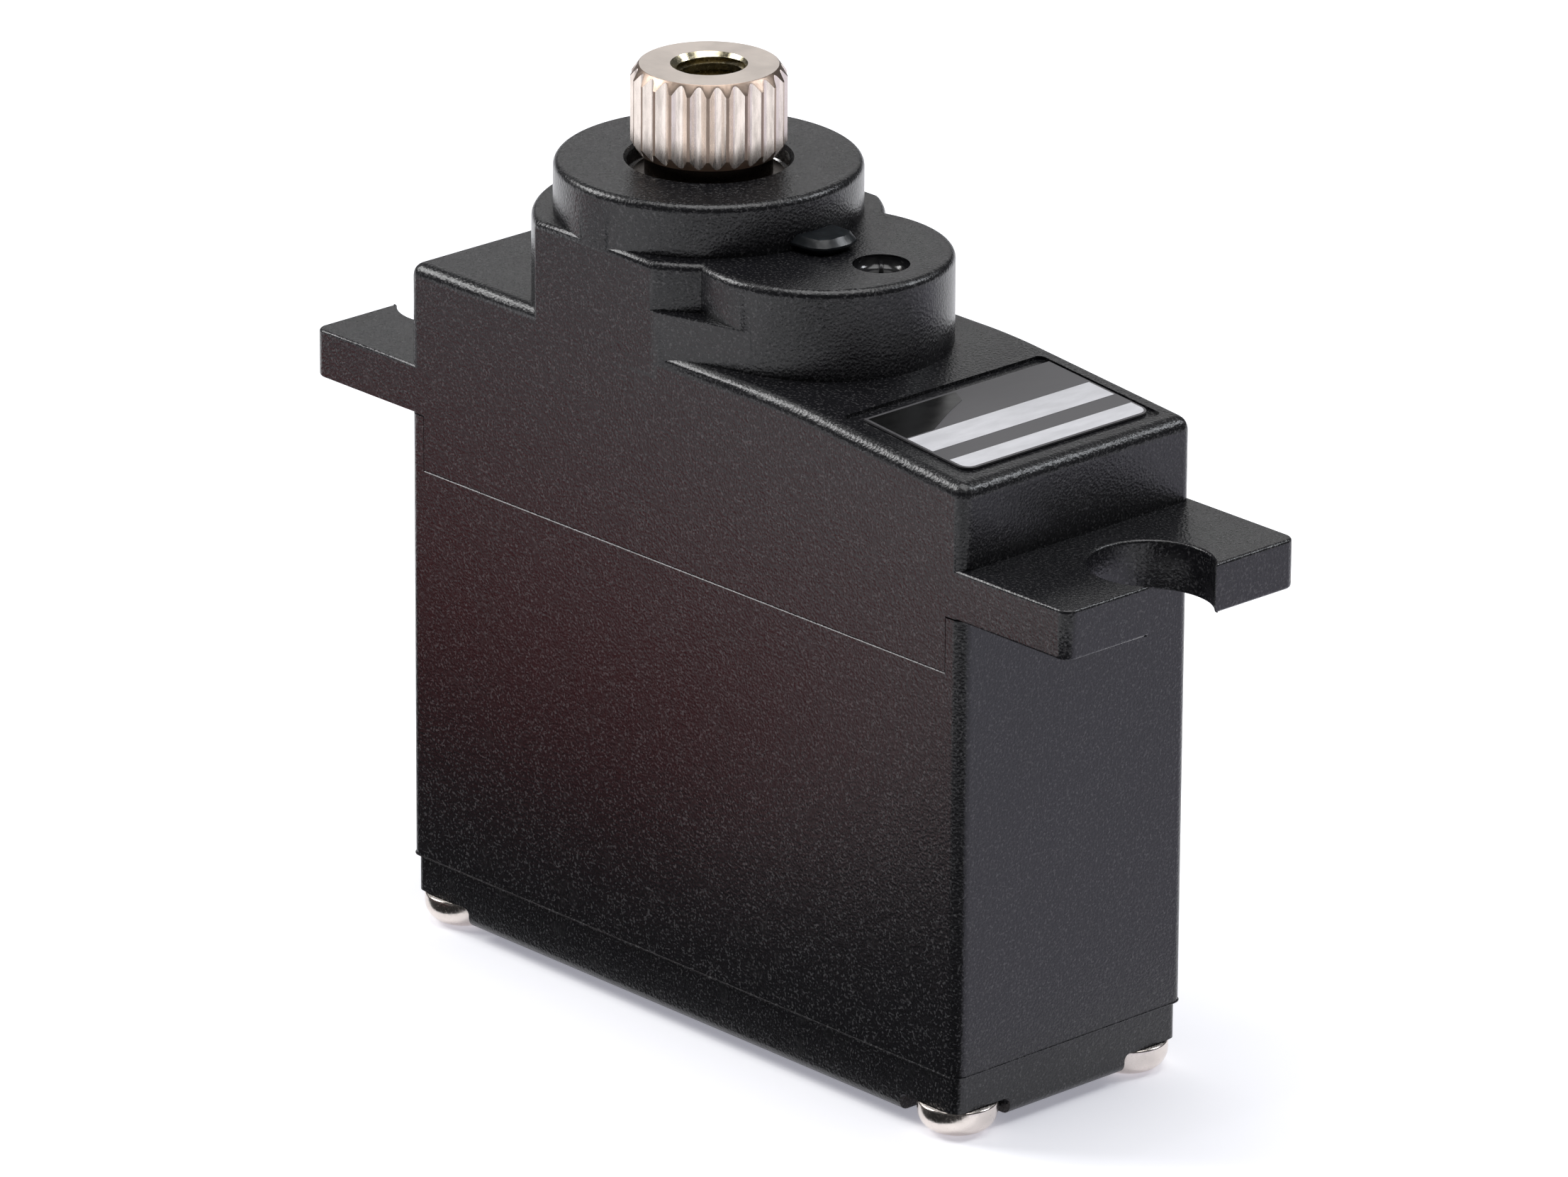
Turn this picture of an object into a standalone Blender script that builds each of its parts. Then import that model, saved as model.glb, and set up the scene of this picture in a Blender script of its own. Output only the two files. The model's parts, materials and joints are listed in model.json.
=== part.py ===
"""Micro servo motor: case, metal gear train, ball bearing, DC motor, potentiometer and board.

Lengths and places in this script are millimetres, and every mesh is made in metres.
The origin is at the bottom centre: X runs along the case towards its label end, Z is up, and the
output shaft stands on the -X side. Two vertical axes carry the gears: the output axis and the gear
pin. The train runs motor, first gear, second gear, third gear, output gear.
"""
import bpy
import bmesh
from math import acos, atan2, cos, pi, radians, sin, sqrt, tan
from mathutils import Matrix, Vector

MM = 0.001
FIT = 0.03              # clearance between fixed pieces
RUN = 0.04              # radial clearance of running fits
WELD = 1e-7             # merge distance, metres

# Case
CASE_LENGTH = 30.58
CASE_WIDTH = 11.73
CASE_WALL = 0.80
CASE_ROUND = 0.52       # radius of the case's vertical and top edges
HALF_L = CASE_LENGTH / 2
HALF_W = CASE_WIDTH / 2
ROOM_L = HALF_L - 0.85  # half length and half width of the room inside
ROOM_W = HALF_W - CASE_WALL
POST_X = 12.50          # the corner posts start beyond these
POST_Y = 3.15

# Levels, from the screw heads up
COVER_BOTTOM = 0.45
POCKET_FLOOR = 1.20
COVER_SEAM = 2.70
TOP_SEAM = 18.62
TAB_BOTTOM = 20.78
TAB_TOP = 22.72
LABEL_END = 25.95       # top of the case at its label end
DECK = 26.80            # flat deck
WEB_TOP = 28.45         # step between the two bosses
BOSS_TOP = 30.30
DISC_TOP = 32.33
SPLINE_BOTTOM = 32.62
SPLINE_TOP = 36.00
GEAR_FLOOR = 19.10      # top of the plate that carries the gears
PLATE_BOTTOM = 17.90
ROOM_TOP = 25.20        # ceiling of the gear room under the deck
OUTPUT_ROOM_R = 5.08    # the room goes on up around the output gear
PINION_ROOM_R = 2.50    # and around the third gear's pinion

# Axes
OUTPUT_X = -4.82
PIN_X = 1.48
CREASE_X = 5.90         # the deck slopes down from here to the label end
CREASE_REACH = 1.50     # the crease is rounded this far to each side

# Outside shapes
TAB_END = 20.77
TAB_HOLE_X = 19.07
TAB_HOLE_R = 2.35
OUTPUT_BOSS_R = 6.66
GEAR_BOSS_R = 4.95
DISC_R = 5.85
DISC_HOLE_R = 3.09
SKIRT_END = 14.40
COVER_INSET = 0.15
COVER_ROUND = 0.40
COVER_FLOOR = 1.50      # floor of the board's room in the cover
RIB_X = 9.00            # the ribs under the board
INLET_HALF = 2.30       # notch for the cord's grommet
INLET_TOP = 4.60
POCKET_L = 3.20
POCKET_W = 2.90
DIMPLE = (4.20, 0.42)
DIMPLE_R = 1.08
LABEL = (8.50, 14.00, 4.72)     # start, end and half width
LABEL_SHIFT = 0.25              # the label lies this far off the middle line
RECESS = (7.95, 14.45, 5.05)
LABEL_THICK = 0.10
RECESS_DEPTH = 0.14
LABEL_CORNER_R = 0.50
WEB_LEAN = radians(15)  # angle of the web's sides to the long faces
LUG = ((0.0, -0.95), (0.75, -1.15), (2.15, -0.95), (2.50, -0.35), (2.50, 0.70), (2.05, 1.20), (0.0, 1.20))
LUG_HEIGHT = 0.60
TAB_ROUND = 0.18

# Screws
SCREW_HEAD_R = 1.45
SCREW_X = HALF_L - SCREW_HEAD_R
SCREW_Y = HALF_W - SCREW_HEAD_R
SCREW_HEAD_H = 1.17
SCREW_DOME = 0.80       # rounding of the head
SCREW_R = 0.60
SCREW_END = 23.40
SCREW_HOLE_R = 0.70
CROSS = (0.82, 0.15, 0.55)      # half length, half width and depth of the cross recess

# Gears: (pinion teeth, wheel teeth, module) of each stage
MOTOR_STAGE = (9, 37, 0.25)
MIDDLE_STAGE = (11, 31, 0.30)
OUTPUT_STAGE = (10, 26, 0.35)
PRESSURE_ANGLE = radians(20)
BACKLASH = 0.14         # in modules
MOTOR_X = PIN_X + MOTOR_STAGE[2] * (MOTOR_STAGE[0] + MOTOR_STAGE[1]) / 2
PIN_R = 0.50
PIN_TOP = 29.50
PIN_SOCKET = 28.50      # mouth of the pin's socket in the top case
POT_SHAFT_R = 0.80
FIRST_WHEEL = (19.50, 21.00)
FIRST_PINION = (21.00, 23.10)
SECOND_WHEEL = (21.30, 22.90)
SECOND_PINION = (22.90, 25.00)
THIRD_WHEEL = (23.30, 24.80)
THIRD_PINION = (24.80, 28.20)
OUTPUT_GEAR = (25.60, 28.20)

# Output shaft and its bearing
SPLINE_TEETH = 25
SPLINE_R = 2.95
SPLINE_ROOT_R = 2.70
SPLINE_END_R = 2.66     # the ends of the teeth are turned down to this
SPLINE_CHAMFER = 0.46
NECK_R = 2.42
JOURNAL_R = 3.00 - RUN / 2
BORE_R = 1.25
BORE_FLOOR = 29.10
BEARING = (28.75, 31.65)
BEARING_BORE_R = 3.00
BEARING_R = 5.00
BALL_R = 0.58
BALL_CIRCLE_R = 4.00
BALLS = 7

# Motor
CAN_R = 6.00
CAN_FLAT = 4.95
CAN_BOTTOM = 6.20
CAN_TOP = 17.85
CAN_WALL = 0.45
NOSE_R = 1.50
FRONT_BUSHING = (16.60, 18.60)
REAR_BUSHING_R = 1.30
REAR_BUSHING = (4.75, 6.50)
CAP_BOTTOM = 4.70
MOTOR_SHAFT_R = 0.38
AIR_GAP = 0.30
BRUSH_X = 3.30          # the brush terminals stand this far to each side of the motor's axis
COMMUTATOR_R = 1.05
ROTOR_R = 3.55
SHOE_R = 2.95           # inside of the rotor's pole shoes
HUB_R = 1.30
NECK_HALF = 0.80
POLES = (60, 180, 300)
CORE = (9.00, 15.20)

# Potentiometer and board
POT = (12.20, 17.40)
POT_R = 4.30
POT_WALL = 0.35
POT_NECK_R = 1.60
POT_NECK_TOP = 18.60
LEAD_X = 2.80
LEAD_PITCH = 2.20
BOARD = (2.15, 2.95)
BOARD_L = 12.20
BOARD_W = 4.85

ROUND = 48              # steps of a full turn on outside shapes
WALL_STEPS = 40         # steps of a full turn on holes in the case
FINE = 24               # steps of a full turn on small inside shapes
SMALL = 16              # steps of a full turn on screws and bores


# ---------------------------------------------------------------- scene and materials

def clear_scene():
    for item in list(bpy.data.objects):
        bpy.data.objects.remove(item, do_unlink=True)


def new_collection(name):
    folder = bpy.data.collections.new(name)
    bpy.context.scene.collection.children.link(folder)
    return folder


def finish_of(name, colour, roughness, metallic=0.0):
    material = bpy.data.materials.new(name)
    material.use_nodes = True
    shader = material.node_tree.nodes["Principled BSDF"]
    shader.inputs["Base Color"].default_value = (*colour, 1)
    shader.inputs["Roughness"].default_value = roughness
    shader.inputs["Metallic"].default_value = metallic
    return material


clear_scene()
PARTS = new_collection("servo_motor")
CUTTERS = new_collection("cutters")

BLACK_PLASTIC = finish_of("black_plastic", (0.018, 0.018, 0.021), 0.55)
GREY_PLASTIC = finish_of("grey_plastic", (0.10, 0.10, 0.11), 0.5)
WHITE_PLASTIC = finish_of("white_plastic", (0.75, 0.74, 0.70), 0.5)
LABEL_FILM = finish_of("label_film", (0.25, 0.25, 0.26), 0.3)
NICKEL = finish_of("nickel", (0.72, 0.66, 0.60), 0.25, 1.0)
STEEL = finish_of("steel", (0.60, 0.60, 0.60), 0.25, 1.0)
BRASS = finish_of("brass", (0.70, 0.52, 0.25), 0.3, 1.0)
ALUMINIUM = finish_of("aluminium", (0.75, 0.75, 0.77), 0.35, 1.0)
COPPER = finish_of("copper", (0.72, 0.38, 0.22), 0.35, 1.0)
IRON = finish_of("iron", (0.22, 0.22, 0.23), 0.5, 1.0)
MAGNET = finish_of("magnet", (0.06, 0.06, 0.065), 0.6)
RUBBER = finish_of("rubber", (0.03, 0.03, 0.03), 0.8)
BOARD_GREEN = finish_of("board_green", (0.02, 0.16, 0.07), 0.4)


# ---------------------------------------------------------------- modelling helpers

def add_object(name, mesh, material):
    item = bpy.data.objects.new(name, mesh)
    mesh.materials.append(material)
    PARTS.objects.link(item)
    return item


def mesh_from(name, model):
    mesh = bpy.data.meshes.new(name)
    model.to_mesh(mesh)
    model.free()
    return mesh


def smooth(item, angle=35):
    item.data.shade_smooth()
    item.data.set_sharp_from_angle(angle=radians(angle))
    return item


def block(name, x, y, z, material):
    """A box between (low, high) pairs."""
    model = bmesh.new()
    bmesh.ops.create_cube(model, size=1)
    size = Vector((x[1] - x[0], y[1] - y[0], z[1] - z[0])) * MM
    middle = Vector((x[0] + x[1], y[0] + y[1], z[0] + z[1])) * MM / 2
    bmesh.ops.scale(model, vec=size, verts=model.verts)
    bmesh.ops.translate(model, vec=middle, verts=model.verts)
    return add_object(name, mesh_from(name, model), material)


def rod(name, centre, radius, z, material, steps=FINE):
    """An upright cylinder, with its origin on its axis."""
    model = bmesh.new()
    bmesh.ops.create_cone(model, cap_ends=True, segments=steps, radius1=radius * MM,
                          radius2=radius * MM, depth=(z[1] - z[0]) * MM)
    bmesh.ops.translate(model, vec=(0, 0, (z[0] + z[1]) / 2 * MM), verts=model.verts)
    item = add_object(name, mesh_from(name, model), material)
    item.location = (centre[0] * MM, centre[1] * MM, 0)
    return smooth(item)


def plate(name, loops, z, material, centre=(0, 0)):
    """A flat outline with holes, raised between two levels."""
    curve = bpy.data.curves.new(name + "_outline", "CURVE")
    curve.dimensions = "2D"
    curve.fill_mode = "BOTH"
    curve.extrude = (z[1] - z[0]) / 2
    for loop in loops:
        spline = curve.splines.new("POLY")
        spline.points.add(len(loop) - 1)
        for point, (x, y) in zip(spline.points, loop):
            point.co = (x, y, 0, 1)
        spline.use_cyclic_u = True
    outline = bpy.data.objects.new(name + "_outline", curve)
    CUTTERS.objects.link(outline)
    mesh = bpy.data.meshes.new_from_object(outline.evaluated_get(bpy.context.evaluated_depsgraph_get()))
    bpy.data.objects.remove(outline, do_unlink=True)
    mesh.name = name
    model = bmesh.new()
    model.from_mesh(mesh)
    bmesh.ops.translate(model, vec=(0, 0, (z[0] + z[1]) / 2), verts=model.verts)
    bmesh.ops.remove_doubles(model, verts=model.verts, dist=WELD / MM)
    bmesh.ops.scale(model, vec=(MM, MM, MM), verts=model.verts)
    bmesh.ops.recalc_face_normals(model, faces=model.faces)
    model.to_mesh(mesh)
    model.free()
    mesh.materials.clear()
    item = add_object(name, mesh, material)
    item.location = (centre[0] * MM, centre[1] * MM, 0)
    return item


def side_plate(name, outline, y, material):
    """An outline in X and Z, raised along Y."""
    item = plate(name, [outline], y, material)
    turn = Matrix.Rotation(radians(90), 4, "X") @ Matrix.Scale(-1, 4, (0, 0, 1))
    item.data.transform(turn)
    item.data.flip_normals()
    return item


def turned(name, profile, material, centre=(0, 0), steps=ROUND, ring=False):
    """A turned shape: (radius, height) points down its outer side. A ring's profile closes."""
    mesh = bpy.data.meshes.new(name)
    points = [(radius * MM, 0, height * MM) for radius, height in profile]
    edges = [(i, i + 1) for i in range(len(points) - 1)]
    if ring:
        edges.append((len(points) - 1, 0))
    mesh.from_pydata(points, edges, [])
    item = add_object(name, mesh, material)
    item.location = (centre[0] * MM, centre[1] * MM, 0)
    screw = item.modifiers.new("turn", "SCREW")
    screw.steps = screw.render_steps = steps
    screw.use_merge_vertices = True
    screw.merge_threshold = WELD
    screw.use_smooth_shade = True
    return item


def bevel(item, width, segments=3, angle=30):
    edge = item.modifiers.new("bevel", "BEVEL")
    edge.width = width * MM
    edge.segments = segments
    edge.limit_method = "ANGLE"
    edge.angle_limit = radians(angle)
    edge.use_clamp_overlap = False
    return item


def hide(tool):
    """Make an object a cutter."""
    PARTS.objects.unlink(tool)
    CUTTERS.objects.link(tool)
    tool.hide_render = True
    tool.display_type = "WIRE"


def combine(item, operation, tools):
    for tool in tools:
        step = item.modifiers.new(operation.lower(), "BOOLEAN")
        step.operation = operation
        step.object = tool
        hide(tool)
    return item


def cut(item, *tools):
    return combine(item, "DIFFERENCE", tools)


def join(item, *tools):
    return combine(item, "UNION", tools)


def keep(item, *tools):
    return combine(item, "INTERSECT", tools)


def weld_shell(item):
    """The case shells share flush faces, which the exact solver leaves open."""
    for step in item.modifiers:
        if step.type == "BOOLEAN":
            step.solver = "MANIFOLD"
    return smooth(item)


def degrees_of(angle):
    return angle * 180 / pi


def arc(centre, radius, start, end, steps):
    """Points on an arc, from start to end in degrees."""
    turn = [radians(start + (end - start) * i / steps) for i in range(steps + 1)]
    return [(centre[0] + radius * cos(a), centre[1] + radius * sin(a)) for a in turn]


def circle(radius, steps=FINE, centre=(0, 0)):
    return arc(centre, radius, 0, 360, steps)[:-1]


def rectangle(x, y):
    return [(x[0], y[0]), (x[1], y[0]), (x[1], y[1]), (x[0], y[1])]


def room_outline(grow=0.0):
    """The room inside the case, a rectangle with its corners left to the screw posts."""
    long, wide = ROOM_L - grow, ROOM_W - grow
    px, py = POST_X - grow, POST_Y - grow
    corner = [(px, py), (px, wide), (-px, wide), (-px, py), (-long, py)]
    return [(long, -py), (long, py), *corner, (-long, -py), (-px, -py), (-px, -wide), (px, -wide), (px, -py)]


def corners():
    """The four screws' places."""
    return [(SCREW_X * sx, SCREW_Y * sy) for sx in (-1, 1) for sy in (-1, 1)]


def rounded_rod(radius, z, fillet, steps=2):
    """Profile of a cylinder with a rounded top edge."""
    rim = arc((radius - fillet, z[1] - fillet), fillet, 90, 0, steps)
    return [(0, z[1]), *rim, (radius, z[0]), (0, z[0])]


# ---------------------------------------------------------------- gears

def involute(angle):
    return tan(angle) - angle


def gear_outline(teeth, module, addendum, dedendum, first_tooth):
    """Teeth with straight flanks between involute points. first_tooth is an angle in radians."""
    pitch_r = teeth * module / 2
    base_r = pitch_r * cos(PRESSURE_ANGLE)
    half = pi / 2 / teeth - BACKLASH * module / (2 * pitch_r) + involute(PRESSURE_ANGLE)

    def half_angle(radius):
        return half - involute(acos(base_r / max(radius, base_r)))

    low, high = pitch_r - dedendum * module, pitch_r + addendum * module
    flank = [(low, half_angle(low)), (high, half_angle(high))]
    points = []
    for i in range(teeth):
        middle = first_tooth + 2 * pi * i / teeth
        points += [(r * cos(middle - a), r * sin(middle - a)) for r, a in flank]
        points += [(r * cos(middle + a), r * sin(middle + a)) for r, a in reversed(flank)]
    return points


def pinion_outline(teeth, module, towards):
    return gear_outline(teeth, module, 0.9, 1.1, towards)


def wheel_outline(teeth, module, towards):
    """A wheel has a gap, not a tooth, towards its pinion."""
    return gear_outline(teeth, module, 0.8, 1.15, towards + pi / teeth)


def compound_gear(name, x, stages, levels, directions, bore, metals):
    """A wheel pressed on the hub of its pinion."""
    (wheel_teeth, wheel_module), (pinion_teeth, pinion_module) = stages
    wheel_z, pinion_z = levels
    wheel_to, pinion_to = directions
    hub_r = pinion_module * pinion_teeth / 2 - 1.1 * pinion_module - 0.05
    holes = [circle(0.45, 8, (2.9 * cos(a), 2.9 * sin(a))) for a in (pi / 6, 5 * pi / 6, 3 * pi / 2)]
    loops = [wheel_outline(wheel_teeth, wheel_module, wheel_to), circle(hub_r + FIT, SMALL), *holes]
    plate(name + "_wheel", loops, wheel_z, metals[0], (x, 0))
    teeth = [pinion_outline(pinion_teeth, pinion_module, pinion_to), circle(bore, SMALL)]
    pinion = plate(name + "_pinion", teeth, (wheel_z[1] + FIT, pinion_z[1]), metals[1], (x, 0))
    hub = plate(name + "_hub", [circle(hub_r, SMALL), circle(bore, SMALL)],
                (wheel_z[0] - 0.15, wheel_z[1] + 0.2), metals[1], (x, 0))
    join(pinion, hub)


# ---------------------------------------------------------------- case

def make_top_case():
    slope = atan2(DECK - LABEL_END, HALF_L - CREASE_X)
    crease_r = CREASE_REACH / tan(slope / 2)
    crease = arc((CREASE_X - CREASE_REACH, DECK - crease_r), crease_r, 90 - degrees_of(slope), 90, 4)
    outline = [(-HALF_L, TOP_SEAM - 2), (HALF_L, TOP_SEAM - 2), (HALF_L, LABEL_END), *crease, (-HALF_L, DECK)]
    case = bevel(side_plate("top_case", outline, (-HALF_W, HALF_W), BLACK_PLASTIC), CASE_ROUND)
    for side in (-1, 1):
        ends = sorted((side * TAB_END, side * (HALF_L - 2)))
        tab = block("tab", ends, (-HALF_W, HALF_W), (TAB_BOTTOM, TAB_TOP), BLACK_PLASTIC)
        join(case, bevel(tab, TAB_ROUND, 2))
    slab = block("slab", (-20, 20), (-HALF_W, HALF_W), (TAB_TOP, 40), BLACK_PLASTIC)
    boss = turned("output_boss", rounded_rod(OUTPUT_BOSS_R, (DECK - 1, BOSS_TOP), 0.2), BLACK_PLASTIC,
                  (OUTPUT_X, 0))
    join(case, keep(boss, slab))
    join(case, turned("gear_boss", rounded_rod(GEAR_BOSS_R, (DECK - 1.05, BOSS_TOP), 0.3),
                      BLACK_PLASTIC, (PIN_X, 0)))
    join(case, make_web())
    join(case, turned("disc", rounded_rod(DISC_R, (BOSS_TOP - 0.5, DISC_TOP), 0.3), BLACK_PLASTIC,
                      (OUTPUT_X, 0)))
    join(case, make_lug())
    hollow_top_case(case)
    return weld_shell(case)


def make_web():
    """The low step whose sides run tangent from the long faces to the gear boss."""
    touch = (PIN_X + GEAR_BOSS_R * sin(WEB_LEAN), GEAR_BOSS_R * cos(WEB_LEAN))
    start = touch[0] - (HALF_W - touch[1]) / tan(WEB_LEAN)
    side = [(OUTPUT_X, HALF_W), (start, HALF_W), touch]
    outline = [(x, -y) for x, y in side] + list(reversed(side))
    return plate("web", [outline], (DECK - 1.1, WEB_TOP), BLACK_PLASTIC)


def make_lug():
    """A small faceted lug beside the disc."""
    return bevel(plate("lug", [LUG], (BOSS_TOP - 0.4, BOSS_TOP + LUG_HEIGHT), BLACK_PLASTIC), 0.19, 1)


def hollow_top_case(case):
    low = TOP_SEAM - 3
    cut(case, block("below_seam", (-21, 21), (-7, 7), (low, TOP_SEAM + FIT / 2), BLACK_PLASTIC))
    for side in (-1, 1):
        ends = sorted((side * SKIRT_END, side * (HALF_L + 0.1)))
        cut(case, block("end_step", ends, (-7, 7), (low, TAB_BOTTOM + FIT), BLACK_PLASTIC))
        cut(case, rod("tab_hole", (side * TAB_HOLE_X, 0), TAB_HOLE_R, (TAB_BOTTOM - 1, TAB_TOP + 1),
                      BLACK_PLASTIC, WALL_STEPS))
    cut(case, plate("gear_room", [room_outline()], (low, ROOM_TOP), BLACK_PLASTIC))
    output, pin = (OUTPUT_X, 0), (PIN_X, 0)
    for name, centre, radius, z, steps in (
            ("output_gear_room", output, OUTPUT_ROOM_R, (ROOM_TOP - 1, BEARING[0] - 0.35), WALL_STEPS),
            ("pinion_room", pin, PINION_ROOM_R, (ROOM_TOP - 1, PIN_SOCKET), FINE),
            ("pin_socket", pin, PIN_R + FIT, (PIN_SOCKET - 0.5, PIN_TOP + 0.05), SMALL),
            ("bearing_seat", output, BEARING_R + FIT, (BEARING[0] - 0.7, BEARING[1] + FIT), WALL_STEPS),
            ("disc_hole", output, DISC_HOLE_R, (BEARING[1] - 1, DISC_TOP + 1), WALL_STEPS),
            ("gate_dimple", DIMPLE, DIMPLE_R, (BOSS_TOP - 0.5, BOSS_TOP + 1), FINE)):
        cut(case, rod(name, centre, radius, z, BLACK_PLASTIC, steps))
    for i, place in enumerate(corners()):
        hole = rod(f"post_hole_{i}", place, SCREW_R + FIT, (low, SCREW_END + 0.4), BLACK_PLASTIC, SMALL)
        cut(case, hole)
    start, end, half = RECESS
    cut(case, sloped_box("label_recess", (start, end), half, -RECESS_DEPTH, 2))


def slope_height(x):
    """Height of the case's top surface under the label."""
    return DECK + (LABEL_END - DECK) * (x - CREASE_X) / (HALF_L - CREASE_X)


def sloped_box(name, x, half, low, high, round_corners=False):
    """A box along the label's slope, from low to high above the surface."""
    slope = atan2(DECK - LABEL_END, HALF_L - CREASE_X)
    length = (x[1] - x[0]) / cos(slope) / 2
    outline = rectangle((-length, length), (-half, half))
    if round_corners:
        x_in, y_in = length - LABEL_CORNER_R, half - LABEL_CORNER_R
        outline = [(-length, -half), *arc((x_in, -y_in), LABEL_CORNER_R, -90, 0, 5),
                   *arc((x_in, y_in), LABEL_CORNER_R, 0, 90, 5), (-length, half)]
    item = plate(name, [outline], (low, high), BLACK_PLASTIC)
    middle = (x[0] + x[1]) / 2
    place = Matrix.Translation((middle * MM, 0, slope_height(middle) * MM))
    item.data.transform(place @ Matrix.Rotation(slope, 4, "Y"))
    return item


def make_label():
    start, end, half = LABEL
    low = FIT - RECESS_DEPTH
    label = sloped_box("label", (start, end), half, low, low + LABEL_THICK, True)
    label.data.transform(Matrix.Translation((0, LABEL_SHIFT * MM, 0)))
    label.data.materials[0] = LABEL_FILM


def make_middle_case():
    """The shell between the seams, with the plate that carries the gears."""
    shell = bevel(block("middle_case", (-HALF_L, HALF_L), (-HALF_W, HALF_W),
                        (COVER_SEAM - 2, TAB_BOTTOM + 3), BLACK_PLASTIC), CASE_ROUND)
    top = TOP_SEAM - FIT / 2
    cut(shell, block("below_cover_seam", (-17, 17), (-7, 7), (-1, COVER_SEAM), BLACK_PLASTIC))
    side = block("above_top_seam", (-SKIRT_END - FIT, SKIRT_END + FIT), (-7, 7), (top, 30), BLACK_PLASTIC)
    cut(shell, side, block("above_ends", (-17, 17), (-7, 7), (TAB_BOTTOM - FIT, 31), BLACK_PLASTIC))
    raised = block("gear_plate", (-POST_X + 0.2, POST_X - 0.2), (-ROOM_W + FIT, ROOM_W - FIT),
                   (PLATE_BOTTOM, GEAR_FLOOR), BLACK_PLASTIC)
    join(shell, raised)
    cut(shell, plate("motor_room", [room_outline()], (COVER_SEAM - 3, PLATE_BOTTOM), BLACK_PLASTIC))
    for name, x, radius, low in (
            ("motor_nose_hole", MOTOR_X, NOSE_R + 0.25, PLATE_BOTTOM - 1),
            ("pot_neck_hole", OUTPUT_X, POT_NECK_R + 0.05, PLATE_BOTTOM - 1),
            ("pin_hole", PIN_X, PIN_R + FIT, GEAR_FLOOR - 0.95)):
        cut(shell, rod(name, (x, 0), radius, (low, GEAR_FLOOR + 1), BLACK_PLASTIC))
    for i, place in enumerate(corners()):
        hole = rod(f"column_hole_{i}", place, SCREW_HOLE_R, (COVER_SEAM - 3, TAB_BOTTOM + 1), BLACK_PLASTIC,
                   SMALL)
        cut(shell, hole)
    cut(shell, block("inlet_notch", (-HALF_L - 1, -ROOM_L + 1), (-INLET_HALF, INLET_HALF),
                     (COVER_SEAM - 1, INLET_TOP), BLACK_PLASTIC))
    return weld_shell(shell)


def make_bottom_cover():
    long, wide = HALF_L - COVER_INSET, HALF_W - COVER_INSET
    top = COVER_SEAM - FIT
    cover = block("bottom_cover", (-long, long), (-wide, wide), (COVER_BOTTOM, top + 2), BLACK_PLASTIC)
    bevel(cover, COVER_ROUND)
    cut(cover, block("above_cover", (-17, 17), (-7, 7), (top, 9), BLACK_PLASTIC))
    cut(cover, plate("board_room", [room_outline()], (COVER_FLOOR, 9), BLACK_PLASTIC))
    for x in (-RIB_X, RIB_X):
        join(cover, block("board_rib", (x - 0.5, x + 0.5), (-ROOM_W - 0.2, ROOM_W + 0.2),
                          (COVER_FLOOR - 0.2, BOARD[0] - FIT), BLACK_PLASTIC))
    for i, (x, y) in enumerate(corners()):
        sx, sy = (1 if x > 0 else -1), (1 if y > 0 else -1)
        pocket = block(f"pocket_{i}", sorted((sx * (HALF_L - POCKET_L), sx * 17)),
                       sorted((sy * (HALF_W - POCKET_W), sy * 8)), (-1, POCKET_FLOOR), BLACK_PLASTIC)
        cut(cover, bevel(pocket, 0.2, 2))
        cut(cover, rod(f"cover_hole_{i}", (x, y), SCREW_HOLE_R, (-1, 9), BLACK_PLASTIC, SMALL))
    return weld_shell(cover)


def make_screws():
    """Pan-head screws with a cross recess, driven from below."""
    long, half, depth = CROSS
    for i, place in enumerate(corners()):
        rim = arc((SCREW_HEAD_R - SCREW_DOME, SCREW_DOME), SCREW_DOME, 0, -90, 4)
        profile = [(0, SCREW_END), (SCREW_R - 0.25, SCREW_END), (SCREW_R, SCREW_END - 0.5),
                   (SCREW_R, SCREW_HEAD_H), (SCREW_HEAD_R, SCREW_HEAD_H), *rim, (0, 0)]
        screw = turned(f"case_screw_{i + 1}", profile, NICKEL, place, SMALL)
        for j in (0, 1):
            slot = block(f"cross_{i}_{j}", (-long, long), (-half, half), (-1, depth), NICKEL)
            slot.location = (place[0] * MM, place[1] * MM, 0)
            slot.rotation_euler = (0, 0, radians(45 + 90 * j + 20 * i))
            cut(screw, slot)


def make_grommet():
    """The rubber inlet for the flat three-wire cord, in the end face below the output shaft."""
    half = INLET_HALF - 0.06
    grommet = block("cable_grommet", (-HALF_L - 0.35, -HALF_L + 1.25), (-half, half),
                    (COVER_SEAM + FIT, INLET_TOP - 0.05), RUBBER)
    bevel(grommet, 0.12, 2)
    cut(grommet, block("cord_slot", (-HALF_L - 1, -HALF_L + 3), (-1.65, 1.65), (3.05, 4.15), RUBBER))


# ---------------------------------------------------------------- gear train

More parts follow.
